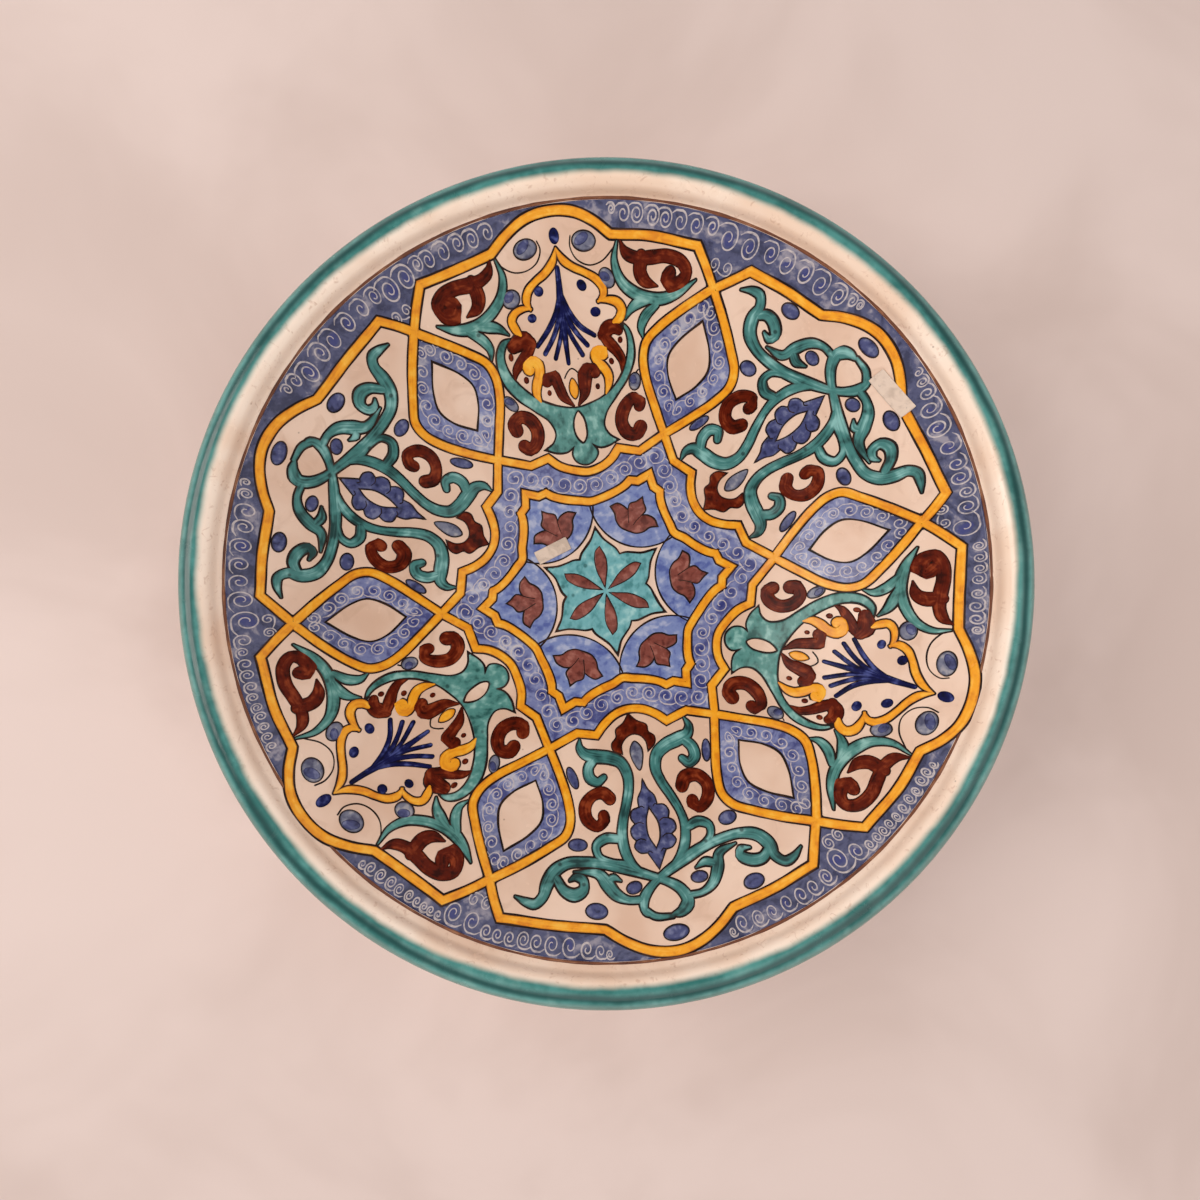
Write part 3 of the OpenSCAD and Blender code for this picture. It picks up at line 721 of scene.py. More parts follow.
# Arabesque: the right side is drawn apart from the left, as the painter's own differ
# Green vine, each stroke on the left and then on the right: stem curls and stems, the loops of
# the eyes, the upper hooks and leaves, the ribbon curls, the top, and the ribbons
VINE_STROKES = [
    [(-28.6, 92.6, 4.7), (-32.8, 97.4, 5.6), (-33.2, 102.8, 5.6), (-29.4, 105.8, 4.9), (-26, 103, 3.8)],
    [(-9, 154.4, 2.4), (-14.5, 150, 4.1), (-18.4, 143.5, 4.7), (-19.8, 136, 4.3), (-18.6, 129, 3.8),
     (-15.4, 121, 4.3), (-11.6, 113, 4.7), (-9.8, 105.5, 5.3), (-12, 98.4, 6.2), (-18, 94.2, 6.8),
     (-25.4, 92.2, 7), (-31.6, 90, 5.6), (-33.4, 85.8, 3.8), (-31.6, 80.8, 0.5)],
    [(24, 94, 4.7), (28, 98.4, 5.3), (28, 103.8, 5.3), (24, 106.8, 4.3), (20.2, 105, 3.2)],
    [(8, 155, 2.4), (12.6, 150.5, 4.3), (15, 144, 5.1), (15.4, 136.6, 5.3), (13.4, 128.8, 4.7),
     (9.8, 120.4, 4.7), (7.2, 112.6, 4.7), (6.8, 105.6, 5.3), (9.4, 98.8, 6), (15.4, 95, 6.8),
     (22.6, 92.8, 7), (28.6, 90.2, 5.6), (31, 86.2, 3.8), (30.2, 81.6, 0.5)],
    [(-18.5, 149.8, 2.8), (-26.4, 147.2, 2.4), (-32.2, 143.2, 3.2), (-32.8, 138.4, 3.9),
     (-27.6, 135.8, 4.3), (-21.4, 137.4, 3.8)],
    [(14.6, 149.8, 2.8), (23, 147.6, 2.6), (29.4, 144, 3.2), (30.2, 138.6, 4.1), (24.6, 136, 4.3),
     (17.4, 137.4, 3.8)],
    [(-31, 155.6, 3.4), (-26.4, 154.6, 3.4), (-20.8, 156.6, 0.5)],
    [(26.8, 155.6, 3.4), (23.4, 154.6, 3), (19.8, 156.6, 0.5)],
    [(-14.5, 167.6, 2.4), (-22, 167, 2.4), (-28.4, 163.4, 4.1), (-32.4, 157.2, 5.3), (-34.6, 151.8, 3.8),
     (-44.4, 148.2, 0.4)],
    [(10.5, 166.2, 2.8), (17.5, 165.2, 2.8), (23.4, 161.8, 5.1), (27.4, 156.4, 6.2), (31.4, 151.4, 4.1),
     (44, 148.1, 0.4)],
    [(-60, 152.6, 3.8), (-56, 155.8, 4.1), (-50, 156.2, 4.9), (-45, 153.6, 4.7), (-46.4, 151, 3.2),
     (-51, 150.8, 1)],
    [(53.4, 149.6, 3.8), (50, 155.4, 4.3), (44.8, 158.2, 4.9), (40, 156.8, 4.7), (39.8, 152.6, 4.1),
     (43.4, 150.6, 3), (46.6, 151.4, 1)],
    [(9.4, 170.8, 3), (4.6, 173.7, 2.4), (-4, 174.6, 1.4)],
    [(-3.5, 174.2, 0.8), (-9, 173.2, 3.8), (-13.2, 169.6, 6), (-10.8, 164.6, 4.7), (-4.5, 160.4, 3.4),
     (3, 157.2, 3.4), (10.5, 154, 4.1), (19, 150.6, 4.7), (28, 147.4, 4.3), (38, 144.8, 4.3),
     (47, 143.6, 4.7), (54.5, 146, 6), (58.6, 150.5, 6.2), (61.4, 155.4, 4.7), (65.6, 157.4, 3.8),
     (70.4, 155.4, 2.8), (75.4, 152, 0.4)],
    [(5, 173.6, 0.6), (9.6, 171, 3.2), (9.4, 166.4, 4.7), (3.6, 161, 3.2), (-3, 157.4, 3.2),
     (-10.5, 154.2, 4.1), (-19, 150.8, 4.7), (-28, 147.6, 4.3), (-38, 145.2, 4.1), (-48, 144, 4.1),
     (-56.5, 145.6, 5.6), (-61, 150, 6.2), (-62.2, 155, 4.7), (-66.4, 157.9, 3.6), (-71.4, 156.2, 2.6),
     (-76.2, 152.2, 0.4)]
]
ALMOND = [
    (-1.6, 154.5), (-1.6, 154.5), (-4.8, 149.6), (-7, 146.2), (-7, 146.2), (-11, 145.4), (-13.4, 142.6),
    (-11.4, 139.6), (-11.4, 139.6), (-14.4, 137.4), (-14.2, 133.8), (-11.2, 131.8), (-11.2, 131.8),
    (-12.4, 128.4), (-10.6, 125), (-6.8, 124.2), (-6.8, 124.2), (-6, 119.4), (-3, 115.4), (-1.2, 110),
    (-1.2, 110), (0.4, 115.4), (3, 119.4), (3.4, 124.2), (3.4, 124.2), (7.6, 125.2), (8.8, 128.6),
    (7, 132), (7, 132), (9.8, 134), (9.9, 137.4), (7.8, 140), (7.8, 140), (9.4, 142.8), (7, 145.8),
    (3, 146.4), (3, 146.4), (1, 150)
]
ALMOND_EYE = [
    (-2, 145.4), (-2, 145.4), (-5.4, 140), (-5.8, 133), (-2, 124.6), (-2, 124.6), (0.8, 131),
    (1.2, 138.4)
]
TEARDROP = [(-0.8, 104.8), (-0.8, 104.8), (-3.6, 98.6), (-3.8, 93), (-0.6, 89), (2.4, 92.6), (2.4, 98.4)]
CROWN = [
    (-7.6, 95.4), (-7.6, 95.4), (-12, 92), (-12.6, 88), (-9.6, 84.8), (-9.4, 81.2), (-4, 77.6), (0, 73),
    (0, 73), (3.6, 77.4), (8.6, 80.6), (9.2, 84.8), (12.4, 88), (12.2, 91.6), (7.4, 94.6), (7.4, 94.6),
    (7, 89.6), (3.6, 86), (-0.4, 84.8), (-4.6, 86.2), (-7.2, 90)
]
ARABESQUE_COMMAS = [
    [(-26.8, 125.4, 6.6), (-26.6, 127, 6.4), (-30, 129.2, 5.2), (-35.4, 124.8, 6.6), (-36.6, 118, 6.8),
     (-32, 112.8, 6.8), (-25.4, 113, 7.5), (-22.6, 117, 7.3)],
    [(23.8, 125, 6.4), (23.8, 126.8, 6.4), (28, 129.4, 5.5), (33.2, 124.6, 6.6), (33, 117.8, 6.8),
     (28, 113.4, 5.9), (22, 113.2, 6.8), (18.8, 116.6, 6.8)]
]
ARABESQUE_OVALS = [
    (-4, 180.8, 6.4, 2.7, 3), (-48.6, 165, 5.2, 2.8, 14), (34.6, 166.8, 5.6, 3, -14),
    (-21.6, 160.6, 4.2, 2.3, 3), (13.4, 160.6, 4, 2.5, 5), (-43.4, 136, 4.7, 3, 14),
    (40, 136.2, 5, 2.8, -14), (-40.4, 100.6, 2.2, 5.8, -10), (37.6, 101.8, 2.4, 6.2, 14)
]


# ---------------------------------------------------------------------------
# Materials
# ---------------------------------------------------------------------------


def srgb(r, g, b):
    """A colour given as 0 to 255 as seen, in Blender's linear light."""
    c = np.array([r, g, b]) / 255
    return (*np.where(c <= 0.04045, c / 12.92, ((c + 0.055) / 1.055) ** 2.4), 1.0)


class Finish:
    """One material being built: each method adds a node and returns its output socket."""

    def __init__(self, name, roughness=0.2, shine=0.5):
        self.material = bpy.data.materials.new(name)
        self.material.use_nodes = True
        self.tree = self.material.node_tree
        self.shader = self.tree.nodes["Principled BSDF"]
        self.shader.inputs["Roughness"].default_value = roughness
        self.shader.inputs["Specular IOR Level"].default_value = shine
        self.place = self.node("ShaderNodeTexCoord").outputs["Object"]

    def node(self, kind, inputs=None, **properties):
        made = self.tree.nodes.new(kind)
        for label, value in properties.items():
            setattr(made, label, value)
        for label, value in (inputs or {}).items():
            if isinstance(value, bpy.types.NodeSocket):
                self.tree.links.new(value, made.inputs[label])
            else:
                made.inputs[label].default_value = value
        return made

    def set(self, label, socket):
        self.tree.links.new(socket, self.shader.inputs[label])

    def attribute(self, label, output="Fac"):
        return self.node("ShaderNodeAttribute", attribute_name=label).outputs[output]

    def noise(self, size, detail=2.0, twist=0.0):
        """Noise from about 0.3 to 0.7, with features size millimetres wide."""
        inputs = {"Vector": self.place, "Scale": 1 / (size * MM), "Detail": detail, "Distortion": twist}
        return self.node("ShaderNodeTexNoise", inputs).outputs[0]

    def math(self, operation, a, b=0.0):
        return self.node("ShaderNodeMath", {0: a, 1: b, 2: 0.0}, operation=operation).outputs[0]

    def plus(self, a, b):
        return self.math("ADD", a, b)

    def times(self, a, b):
        return self.math("MULTIPLY", a, b)

    def blend(self, a, b, share):
        """A share of a and the rest of b."""
        return self.plus(self.times(a, share), self.times(b, 1 - share))

    def vector_math(self, operation, a, b=(0, 0, 0), output=0):
        return self.node("ShaderNodeVectorMath", {0: a, 1: b}, operation=operation).outputs[output]

    def ease(self, value, low, high, to_low=0.0, to_high=1.0):
        """The value stretched so that low gives to_low and high gives to_high, eased at both ends."""
        inputs = {"Value": value, "From Min": low, "From Max": high, "To Min": to_low, "To Max": to_high}
        return self.node("ShaderNodeMapRange", inputs, interpolation_type="SMOOTHSTEP").outputs[0]

    def mix(self, share, a, b):
        return self.node("ShaderNodeMix", {0: share, 6: a, 7: b}, data_type="RGBA").outputs[2]

    def tones(self, value, knots, deep, middle, pale):
        """Deep up to the first knot, middle at the second and pale from the third."""
        colour = self.mix(self.ease(value, *knots[:2]), deep, middle)
        return self.mix(self.ease(value, *knots[1:]), colour, pale)

    def clouds(self, noise, low, high, a, b):
        """Two colours in clouds: a where the noise is under low, b where it is over high."""
        return self.mix(self.ease(self.noise(*noise), low, high), a, b)

    def radius(self, middle=(0, 0)):
        """The distance in millimetres from an upright axis."""
        away = self.vector_math("SUBTRACT", self.place, (middle[0] * MM, middle[1] * MM, 0))
        flat = self.vector_math("MULTIPLY", away, (1 / MM, 1 / MM, 0))
        return self.vector_math("LENGTH", flat, output="Value")

    def spots(self, size, share, radius=0.2):
        """Small round specks: 1 inside a speck, 0 elsewhere. share is how many cells have one, and
        radius is a speck's own, as a share of a cell."""
        cells = self.node("ShaderNodeTexVoronoi", {"Vector": self.place, "Scale": 1 / (size * MM)})
        near = self.ease(cells.outputs["Distance"], 1.3 * radius, 0.5 * radius)
        chance = self.node("ShaderNodeSeparateColor", {0: cells.outputs["Color"]}).outputs[0]
        return self.times(near, self.math("LESS_THAN", chance, share))

    def bump(self, height, strength, depth, after=None):
        """A bump depth millimetres deep, on top of the one that it comes after."""
        inputs = {"Height": height, "Strength": strength, "Distance": depth * MM}
        if after is not None:
            inputs["Normal"] = after
        return self.node("ShaderNodeBump", inputs).outputs[0]

    def finished(self, colour, normal, roughness=None):
        """The material, with its colour and surface set."""
        self.set("Base Color", colour)
        self.set("Normal", normal)
        if roughness is not None:
            self.set("Roughness", roughness)
        return self.material

    def glazed(self, colour, ripple=0.35):
        """The colour under a hand dipped glaze: a slow ripple, fine orange peel and patchy gloss."""
        slow = self.bump(self.noise(22, 2), ripple, 0.9)
        skin_of_glaze = self.bump(self.noise(1.6, 2), 0.12, 0.12, slow)
        gloss = self.shader.inputs["Roughness"].default_value
        patchy = self.ease(self.noise(9, 4, 0.4), 0.3, 0.75, gloss - 0.05, gloss + 0.09)
        return self.finished(colour, skin_of_glaze, patchy)


# Lit and shaded copies of the white glaze: the first carries the bowl's painted shade inside it, the lit one
# is painted light over the lip and the outside's plain white
WHITE = (srgb(240, 211, 191), srgb(224, 188, 164))
LIT_WHITE = (srgb(252, 234, 218), srgb(240, 212, 190))
SPECK = srgb(120, 88, 66)
GRIME = srgb(196, 156, 128)
# Painted shade for the crease under the lip
CREASE_SHADE = srgb(188, 140, 112)

# The blue wash in the well, and a darker one near the border that is painted shade of the steep wall: deep,
# middle and pale
WASH = (srgb(66, 72, 132), srgb(118, 127, 176), srgb(186, 187, 206))
SHADED_BORDER_WASH = (srgb(30, 35, 76), srgb(70, 75, 114), srgb(146, 142, 158))

# Where noise is spread between two colours, and among three
SPREAD = (0.36, 0.66)
KNOTS = (0.34, 0.5, 0.66)


def grimy(f, colour):
    """The colour with faint grime in soft patches."""
    share = f.times(f.ease(f.noise(16, 4, 1.2), 0.54, 0.74), 0.28)
    return f.mix(share, colour, GRIME)


def specked(f, colour):
    """The colour with a few small iron specks."""
    return f.mix(f.times(f.spots(8, 0.12, 0.07), 0.5), colour, SPECK)


def outer_white(f):
    """The glaze outside, which is whiter: it has no shadow of the bowl on it."""
    return specked(f, grimy(f, f.clouds((60, 3, 0.5), *SPREAD, *LIT_WHITE)))


def white_colour(f):
    """The cream glaze inside: slow warm clouds, faint grime and iron specks, painted light that makes it
    whiter over the lip, and painted shade in patches in the crease under it."""
    cloud = f.ease(f.noise(60, 3, 0.5), *SPREAD)
    colour = grimy(f, f.mix(cloud, *WHITE))
    radius = f.radius()
    # Painted light: towards the lip the glaze goes from the shaded copy to the lit one
    colour = f.mix(f.ease(radius, 188, 197), colour, f.mix(cloud, *LIT_WHITE))
    # Painted shade, in soft patches, in the crease between the wall and the lip
    crease_shade = f.times(f.ease(f.noise(4, 5, 1.5), 0.56, 0.74), f.ease(radius, 184, 193, 0.0, 0.4))
    return specked(f, f.mix(crease_shade, colour, CREASE_SHADE))


def wash_colour(f):
    """Thin cobalt wash: pale where the brush ran dry, deep where it pooled, and darker by the border as
    painted shade.
    """
    pool = f.blend(f.noise(13, 3, 0.9), f.noise(3.2, 3, 0.6), 0.7)
    # Painted shade: the wash darkens and greys towards the border
    border_shade = f.ease(f.radius(), 130, 175)
    tones = [f.mix(border_shade, *pair) for pair in zip(WASH, SHADED_BORDER_WASH)]
    return f.tones(pool, (0.38, 0.52, 0.66), *tones)


def glazed(name, colour):
    """A finish that is one of the colour functions, under the gloss of the glaze."""
    f = Finish(name)
    return f.glazed(colour(f))


def paint(name, deep, middle, pale, rim=None, rim_share=0.55, dots=None, cloud=7.0, shine=0.3):
    """A painted colour: clouds of wash, bristle streaks along the stroke, a pooled darker edge."""
    f = Finish(name, shine=shine)
    bristles = f.vector_math("MULTIPLY", f.attribute("flow", "Vector"), (0.05, 0.85, 3.7))
    streak = f.node("ShaderNodeTexNoise", {"Vector": bristles, "Scale": 1.0, "Detail": 2.0}).outputs[0]
    wash = f.blend(f.noise(cloud, 2, 0.4), streak, 0.66)
    colour = f.tones(wash, KNOTS, srgb(*deep), srgb(*middle), srgb(*pale))
    edge = f.plus(f.attribute("edge"), f.times(f.noise(1.5, 2), 0.8))
    colour = f.mix(f.times(f.ease(edge, 1.25, 0.45), rim_share), colour, srgb(*(rim or deep)))
    if dots:
        colour = f.mix(f.times(f.spots(6.5, 0.3), 0.75), colour, srgb(*dots))
    return f.glazed(colour, 0.3)


def feathered(name, deep, reach, strength, ground):
    """Paint that melts into its ground: the ground's own colour at the edge, deep inside it."""
    f = Finish(name)
    start = 1.8
    edge = f.plus(f.attribute("edge"), f.times(f.noise(3.5, 3), 2.4))
    share = f.times(f.ease(edge, start, start + reach), strength)
    return f.glazed(f.mix(share, ground(f), srgb(*deep)))


def dry_line(name, light, ground, strength):
    """A thin pale line drawn with a nearly dry brush, so that its ground shows through."""
    f = Finish(name)
    share = f.times(f.ease(f.noise(2.2, 3), 0.3, 0.6, 0.45, 1.0), strength)
    return f.glazed(f.mix(share, ground(f), srgb(*light)))


def green_rim():
    """Green glaze brushed round the lip: a darker line in its middle and soft, watery edges."""
    f = Finish("rim_green")
    radius = f.plus(f.radius(RIM_AT), f.ease(f.noise(50, 2), 0.3, 0.7, -0.7, 0.7))
    wash = f.blend(f.noise(34, 2), f.noise(5, 3), 0.6)
    green = f.mix(f.ease(wash, 0.34, 0.66), srgb(42, 110, 106), srgb(78, 146, 142))
    green = f.mix(f.ease(f.noise(12, 3), 0.56, 0.74, 0.0, 0.4), green, srgb(116, 168, 162))
    green = f.mix(f.ease(radius, 205.5, 210, 0.0, 0.6), green, srgb(116, 134, 124))
    gap = f.math("ABSOLUTE", f.math("SUBTRACT", radius, RIM_LINE_R))
    green = f.mix(f.ease(gap, 3.0, 0.2, 0.0, 0.85), green, srgb(12, 62, 62))
    soft_edge = f.plus(f.attribute("edge"), f.ease(f.noise(18, 2), 0.3, 0.7, -0.35, 0.35))
    share = f.math("POWER", f.ease(soft_edge, 0.1, 4.6), 1.5)
    return f.glazed(f.mix(share, white_colour(f), green))


def terracotta():
    """Bare fired clay: grain, paler slip wiped over it, dark grit, and no gloss."""
    f = Finish("bare_clay", 0.82)
    colour = f.clouds((30, 4, 0.8), 0.35, 0.65, srgb(164, 98, 66), srgb(198, 138, 100))
    colour = f.mix(f.ease(f.noise(9, 5, 1.5), 0.52, 0.7, 0.0, 0.6), colour, srgb(214, 178, 148))
    colour = f.mix(f.times(f.spots(2.6, 0.14), 0.7), colour, srgb(84, 50, 36))
    grit = f.bump(f.noise(0.9, 4), 0.5, 0.35)
    normal = f.bump(f.noise(6, 3), 0.35, 0.5, grit)
    return f.finished(colour, normal, f.ease(f.noise(5, 4), 0.3, 0.7, 0.72, 0.92))


def label_paper():
    """Cheap coated label paper, blank, rubbed grey where it has been handled."""
    f = Finish("label_paper", 0.55)
    colour = f.clouds((7, 4, 1.0), 0.42, 0.7, srgb(228, 208, 192), srgb(202, 182, 166))
    rubbed = f.times(f.ease(f.noise(1.1, 4, 1.0), 0.56, 0.7), f.ease(f.noise(6, 2), 0.4, 0.6))
    colour = f.mix(f.times(rubbed, 0.5), colour, srgb(136, 126, 120))
    normal = f.bump(f.noise(0.7, 4), 0.25, 0.1)
    return f.finished(colour, normal, f.ease(f.noise(3, 3), 0.3, 0.7, 0.45, 0.65))


def floor_cloth():
    """Matt pale cloth in slow clouds of two close tones."""
    f = Finish("floor_pale", 0.9)
    colour = f.clouds((240, 4, 0.6), 0.35, 0.65, srgb(228, 210, 205), srgb(213, 194, 188))
    return f.finished(colour, f.bump(f.noise(1.2, 3), 0.12, 0.2))


# ---------------------------------------------------------------------------
# Clay and glaze
# ---------------------------------------------------------------------------

OUTER_TOP = 0.95 * WALL_R       # where the outside of the wall turns into the lip's underside
JOINT_IN = OUTER_TOP - 7        # the hollow there starts at this radius
JOINT_TURN = LIP_UNDER + 24     # and ends at this angle round the lip
RIM_EDGE = 198.7                # the green glaze's inner edge, about its own middle
RIM_UNDER = -66                 # its lower edge, as an angle round the lip
RIM_LINE_R = 203.5              # and the darker line along it
FILLET_R = 193.0                # the inner glaze leaves the wall here
FILLET_TOP = 148                # and joins the lip here, as an angle round it
HOLD = 7.5                      # how far outside the foot the outer glaze stops, as it was held there

# Runs of the outer glaze: angle in radians, length in millimetres, and width in radians
DRIPS = [
    (0.7, 6.5, 0.035), (1.9, 4.0, 0.05), (3.1, 8.0, 0.03), (3.6, 3.5, 0.05), (4.9, 6.0, 0.04),
    (5.8, 4.5, 0.045)
]

# The section of the foot ring, as (how far outside its inner or outer face, height)
FOOT_OUTSIDE = [
    (-4, 0), (-1.4, 0), (-0.4, 0.5), (0, 1.5), (-0.15, 4), (0.1, 6.5), (-0.1, 9), (0.2, 11.5), (1.4, 13.6),
    (4.2, 15.6), (3.5, 17.6)
]
FOOT_INSIDE = [
    (-3.5, 16.6), (-3.2, 12.6), (-1, 11), (-0.1, 9), (0.15, 6), (-0.1, 3.5), (0, 1.5), (0.4, 0.5)
]


def rings(r, pitch, depth):
    """The shallow grooves that fingers and tools leave on a turning wall."""
    groove = np.sin(2 * np.pi * r / pitch + 1.3 * np.sin(r / 11))
    return depth * groove * (0.6 + 0.4 * np.sin(r / 23 + 1))


def lip_joint(out):
    """The hollow between the outer wall and the lip, as a curve."""
    below = skin(np.array([JOINT_IN, OUTER_TOP]), -WALL_T - out)
    start = lip([LIP_UNDER, JOINT_TURN], out)
    middle = mix(below[1], start[0], 0.55) + (-0.5, 0.5)
    return smooth([below[0], below[1], middle, start[0], start[1]], 1.5)


# Every profile is told its angle round the dish, and the round ones make no use of it
def clay_profile(angle):
    r = np.linspace(0, WALL_R, 60)
    under = np.linspace(JOINT_IN, 0, 130)
    wave = np.where(under < FOOT_R + 8, rings(under, 4.3, 0.28), 0) * np.clip(under / 12, 0, 1)
    outside = skin(under, -GLAZE_T - CLAY_T - wave)
    outside[-1, 0] = 0
    over = lip(np.linspace(CREASE, JOINT_TURN, 40)[1:-1], -GLAZE_T)
    return np.vstack([skin(r, -GLAZE_T), over, lip_joint(-GLAZE_T)[::-1], outside[1:-1]])


def foot_profile(angle):
    inner = FOOT_R - FOOT_W
    sway = 0.25 * np.sin(angle + 0.8) + 0.12 * np.sin(3 * angle)
    p = [(inner + 1.4, 0), (inner + 4, 0)]
    p += [(FOOT_R + x, z) for x, z in FOOT_OUTSIDE] + [(inner + x, z) for x, z in FOOT_INSIDE]
    p = np.array(p, float)
    p[:, 0] += sway * np.clip(p[:, 1] / 10, 0, 1)
    return p


def inside_profile(angle):
    """The inner glaze, which half fills the crease where the wall meets the lip."""
    r = np.linspace(0, WALL_R, 76)
    back = skin(r[::-1], -GLAZE_T)
    back[-1, 0] = 0
    wall = skin(np.linspace(0, FILLET_R, 75), 0)
    over = lip(np.linspace(FILLET_TOP, 0, 26))
    t = np.linspace(0, 1, 10)[1:-1, None]
    a = wall[-1]
    d = over[0]
    b = a + unit(wall[-1:] - wall[-2:-1])[0] * 2.2
    c = d - unit(over[1:2] - over[:1])[0] * 2.9
    fillet = (1 - t) ** 3 * a + 3 * (1 - t) ** 2 * t * b + 3 * (1 - t) * t**2 * c + t**3 * d
    return np.vstack([wall, fillet, over, lip(np.linspace(0, CREASE, 26), -GLAZE_T), back[1:-1]])


def outside_profile(angle):
    """The outer glaze: it stops short of the foot in a thick, wavy edge with a few runs."""
    low = FOOT_R + HOLD + 1.1 * np.sin(3 * angle + 1) + 0.7 * np.sin(7 * angle + 2) + 0.4 * np.sin(13 * angle)
    for at, length, width in DRIPS:
        away = (angle - at + np.pi) % (2 * np.pi) - np.pi
        low -= length * np.exp(-(away / width) ** 2)
    low = max(low, FOOT_R + 1.2)
    r = low + (JOINT_IN - low) * np.linspace(0, 1, 90) ** 1.25
    roll = 0.55 * np.exp(-((r - low - 1.3) / 1.3) ** 2) - 0.55 * np.exp(-((r - low) / 0.5) ** 2)
    face = skin(r, -WALL_T - roll + rings(r, 7.2, 0.2))
    over = lip(np.linspace(JOINT_TURN, 0, 22))
    under = lip(np.linspace(0, LIP_UNDER, 16), -GLAZE_T)
    back = skin(np.linspace(JOINT_IN - 1, low, 40), -GLAZE_T - CLAY_T + 0.02)
    return np.vstack([face[:-1], lip_joint(0), over[1:], under, back])


def rim_profile(angle):
    """The green band: its inner edge has its own middle, and starts well inside where it shows."""
    wander = 0.25 * np.sin(5 * angle) + 0.12 * np.sin(11 * angle)
    reach = RIM_EDGE + RIM_AT @ (np.cos(angle), np.sin(angle)) + wander
    start = np.degrees(np.arccos((reach - LIP_X) / LIP_R)) + 20
    end = RIM_UNDER + 3 * np.sin(2 * angle) + 2 * np.sin(9 * angle)
    turn = np.linspace(start, end, 44)
    edge = np.radians(np.minimum(start - turn, turn - end)) * LIP_R
    lift = (0.03 + 0.11 * (1 - np.exp(-edge / 1.2)))[:, None]
    face = lip(turn) + lift * polar(turn, 1)
    back = lip(turn[::-1], -0.12)
    return np.vstack([np.column_stack([face, edge]), np.column_stack([back, edge[::-1]])])


CLAY = terracotta()

for name, profile, sharp_corner, material, slot, node in (
    ("clay_body", clay_profile, 40, CLAY, "terracotta", "clay_bowl"),
    ("turned_foot", foot_profile, 40, CLAY, "terracotta", "foot_ring"),
    ("glaze_inside", inside_profile, 60, glazed("glaze_white", white_colour), "white_glaze", "inside_glaze"),
    ("glaze_outside", outside_profile, 60, glazed("glaze_outer_white", outer_white), "white_glaze",
     "outside_glaze"),
    ("rim_band", rim_profile, 60, green_rim(), "green_glaze", "rim_green_glaze"),
):
    settle(lathe(name, profile, sharp_corner), material, slot, node)

# ---------------------------------------------------------------------------
# The painted pattern. Heights of its coats over the glaze, in millimetres
# ---------------------------------------------------------------------------

GROUND, DABS, CURLS, LINES, COLOUR, OVER = 0.06, 0.075, 0.14, 0.155, 0.2, 0.27
STRAP_W = 4.4           # the ochre of a strap
LINE_W = 0.85           # how much of an outline shows on each side of what it bounds
CURL_W = 0.68           # the brush line of a spiral by the border
OVAL_LINE = 1.1         # the outline of an oval dab
LOZENGE_OFF = 4.9       # how far outside a lozenge's line its row of spirals runs

TEAL = paint(
    "green_paint", (16, 60, 60), (66, 128, 126), (136, 192, 190), rim=(18, 50, 48), dots=(12, 38, 38),
    cloud=12)
STAR_TEAL = paint(
    "pale_green_paint", (70, 138, 144), (112, 178, 186), (160, 210, 212), rim=(50, 110, 114),
    dots=(40, 96, 98), cloud=9)
OCHRE = paint(
    "ochre_paint", (226, 138, 14), (246, 166, 24), (252, 188, 60), rim=(176, 92, 10), rim_share=0.6)
BROWN = paint(
    "manganese_brown", (50, 9, 1), (92, 24, 5), (138, 58, 28), rim=(44, 8, 2), cloud=6, shine=0.08)
PETAL_BROWN = paint("petal_brown", (94, 38, 30), (130, 66, 56), (162, 100, 88), rim=(70, 28, 22), cloud=5)
COBALT = paint("cobalt_paint", (5, 6, 34), (18, 22, 76), (78, 88, 152), rim=(3, 4, 28), cloud=7, shine=0.08)
SLATE = paint("slate_cobalt", (34, 38, 78), (68, 74, 122), (112, 118, 156), rim=(20, 22, 50), cloud=5)
LOBE_BLUE = paint(
    "lobe_blue", (82, 98, 166), (122, 139, 192), (172, 181, 212), rim=(80, 90, 150), cloud=7)
PALE_BLUE = paint(
    "pale_cobalt", (74, 76, 104), (114, 118, 140), (160, 158, 166), rim=(40, 40, 62), cloud=5)
INK = paint(
    "outline_ink", (24, 17, 16), (38, 26, 23), (68, 48, 40), rim=(34, 24, 22), rim_share=0.3, cloud=14,
    shine=0.08)
BORDER_BROWN = paint(
    "border_brown", (84, 44, 26), (120, 68, 42), (166, 114, 80), rim=(90, 50, 34), cloud=12)
VASE_TEAL = paint(
    "vase_green_paint", (32, 86, 82), (80, 141, 136), (142, 192, 186), rim=(26, 68, 66), dots=(20, 58, 56),
    cloud=10)
BLUE_WASH = glazed("blue_wash", wash_colour)
DEEP_DABS = feathered("deep_dabs", (38, 46, 118), 1.5, 0.88, wash_colour)
PALE_CURLS = dry_line("pale_curls", (208, 198, 198), wash_colour, 0.85)

spokes = [spoke(k) for k in range(6)]
palmettes = [medallion(k, PALMETTE_HOME) for k in PALMETTES]
arabesques = [medallion(k, ARABESQUE_HOME) for k in ARABESQUES]


def outline_of(place, shape):
    """A shape's closed outline, smooth and in its place."""
    return smooth(place(shape), closed=True)


def banded(loop, width):
    """A closed line as a stroke of one width."""
    return np.column_stack([loop[:, :2], np.full(len(loop), width)])


circle = np.linspace(0, 360, 1200, endpoint=False)
strap_loops = [outline_of(place, PALMETTE_STRAP) for place in palmettes]
strap_loops += [outline_of(place, ARABESQUE_STRAP) for place in arabesques]
lozenge_loops = [outline_of(place, LOZENGE) for place in spokes]
star_knots = []
for k in CLOCKWISE:
    star_knots += spokes[k](STAR_TIP + STAR_COVE).tolist()
    star_knots += spokes[k - 1](flipped(STAR_COVE[:-1])[::-1]).tolist()
star_loop = smooth(star_knots, closed=True)

outlines = Coat(LINES)

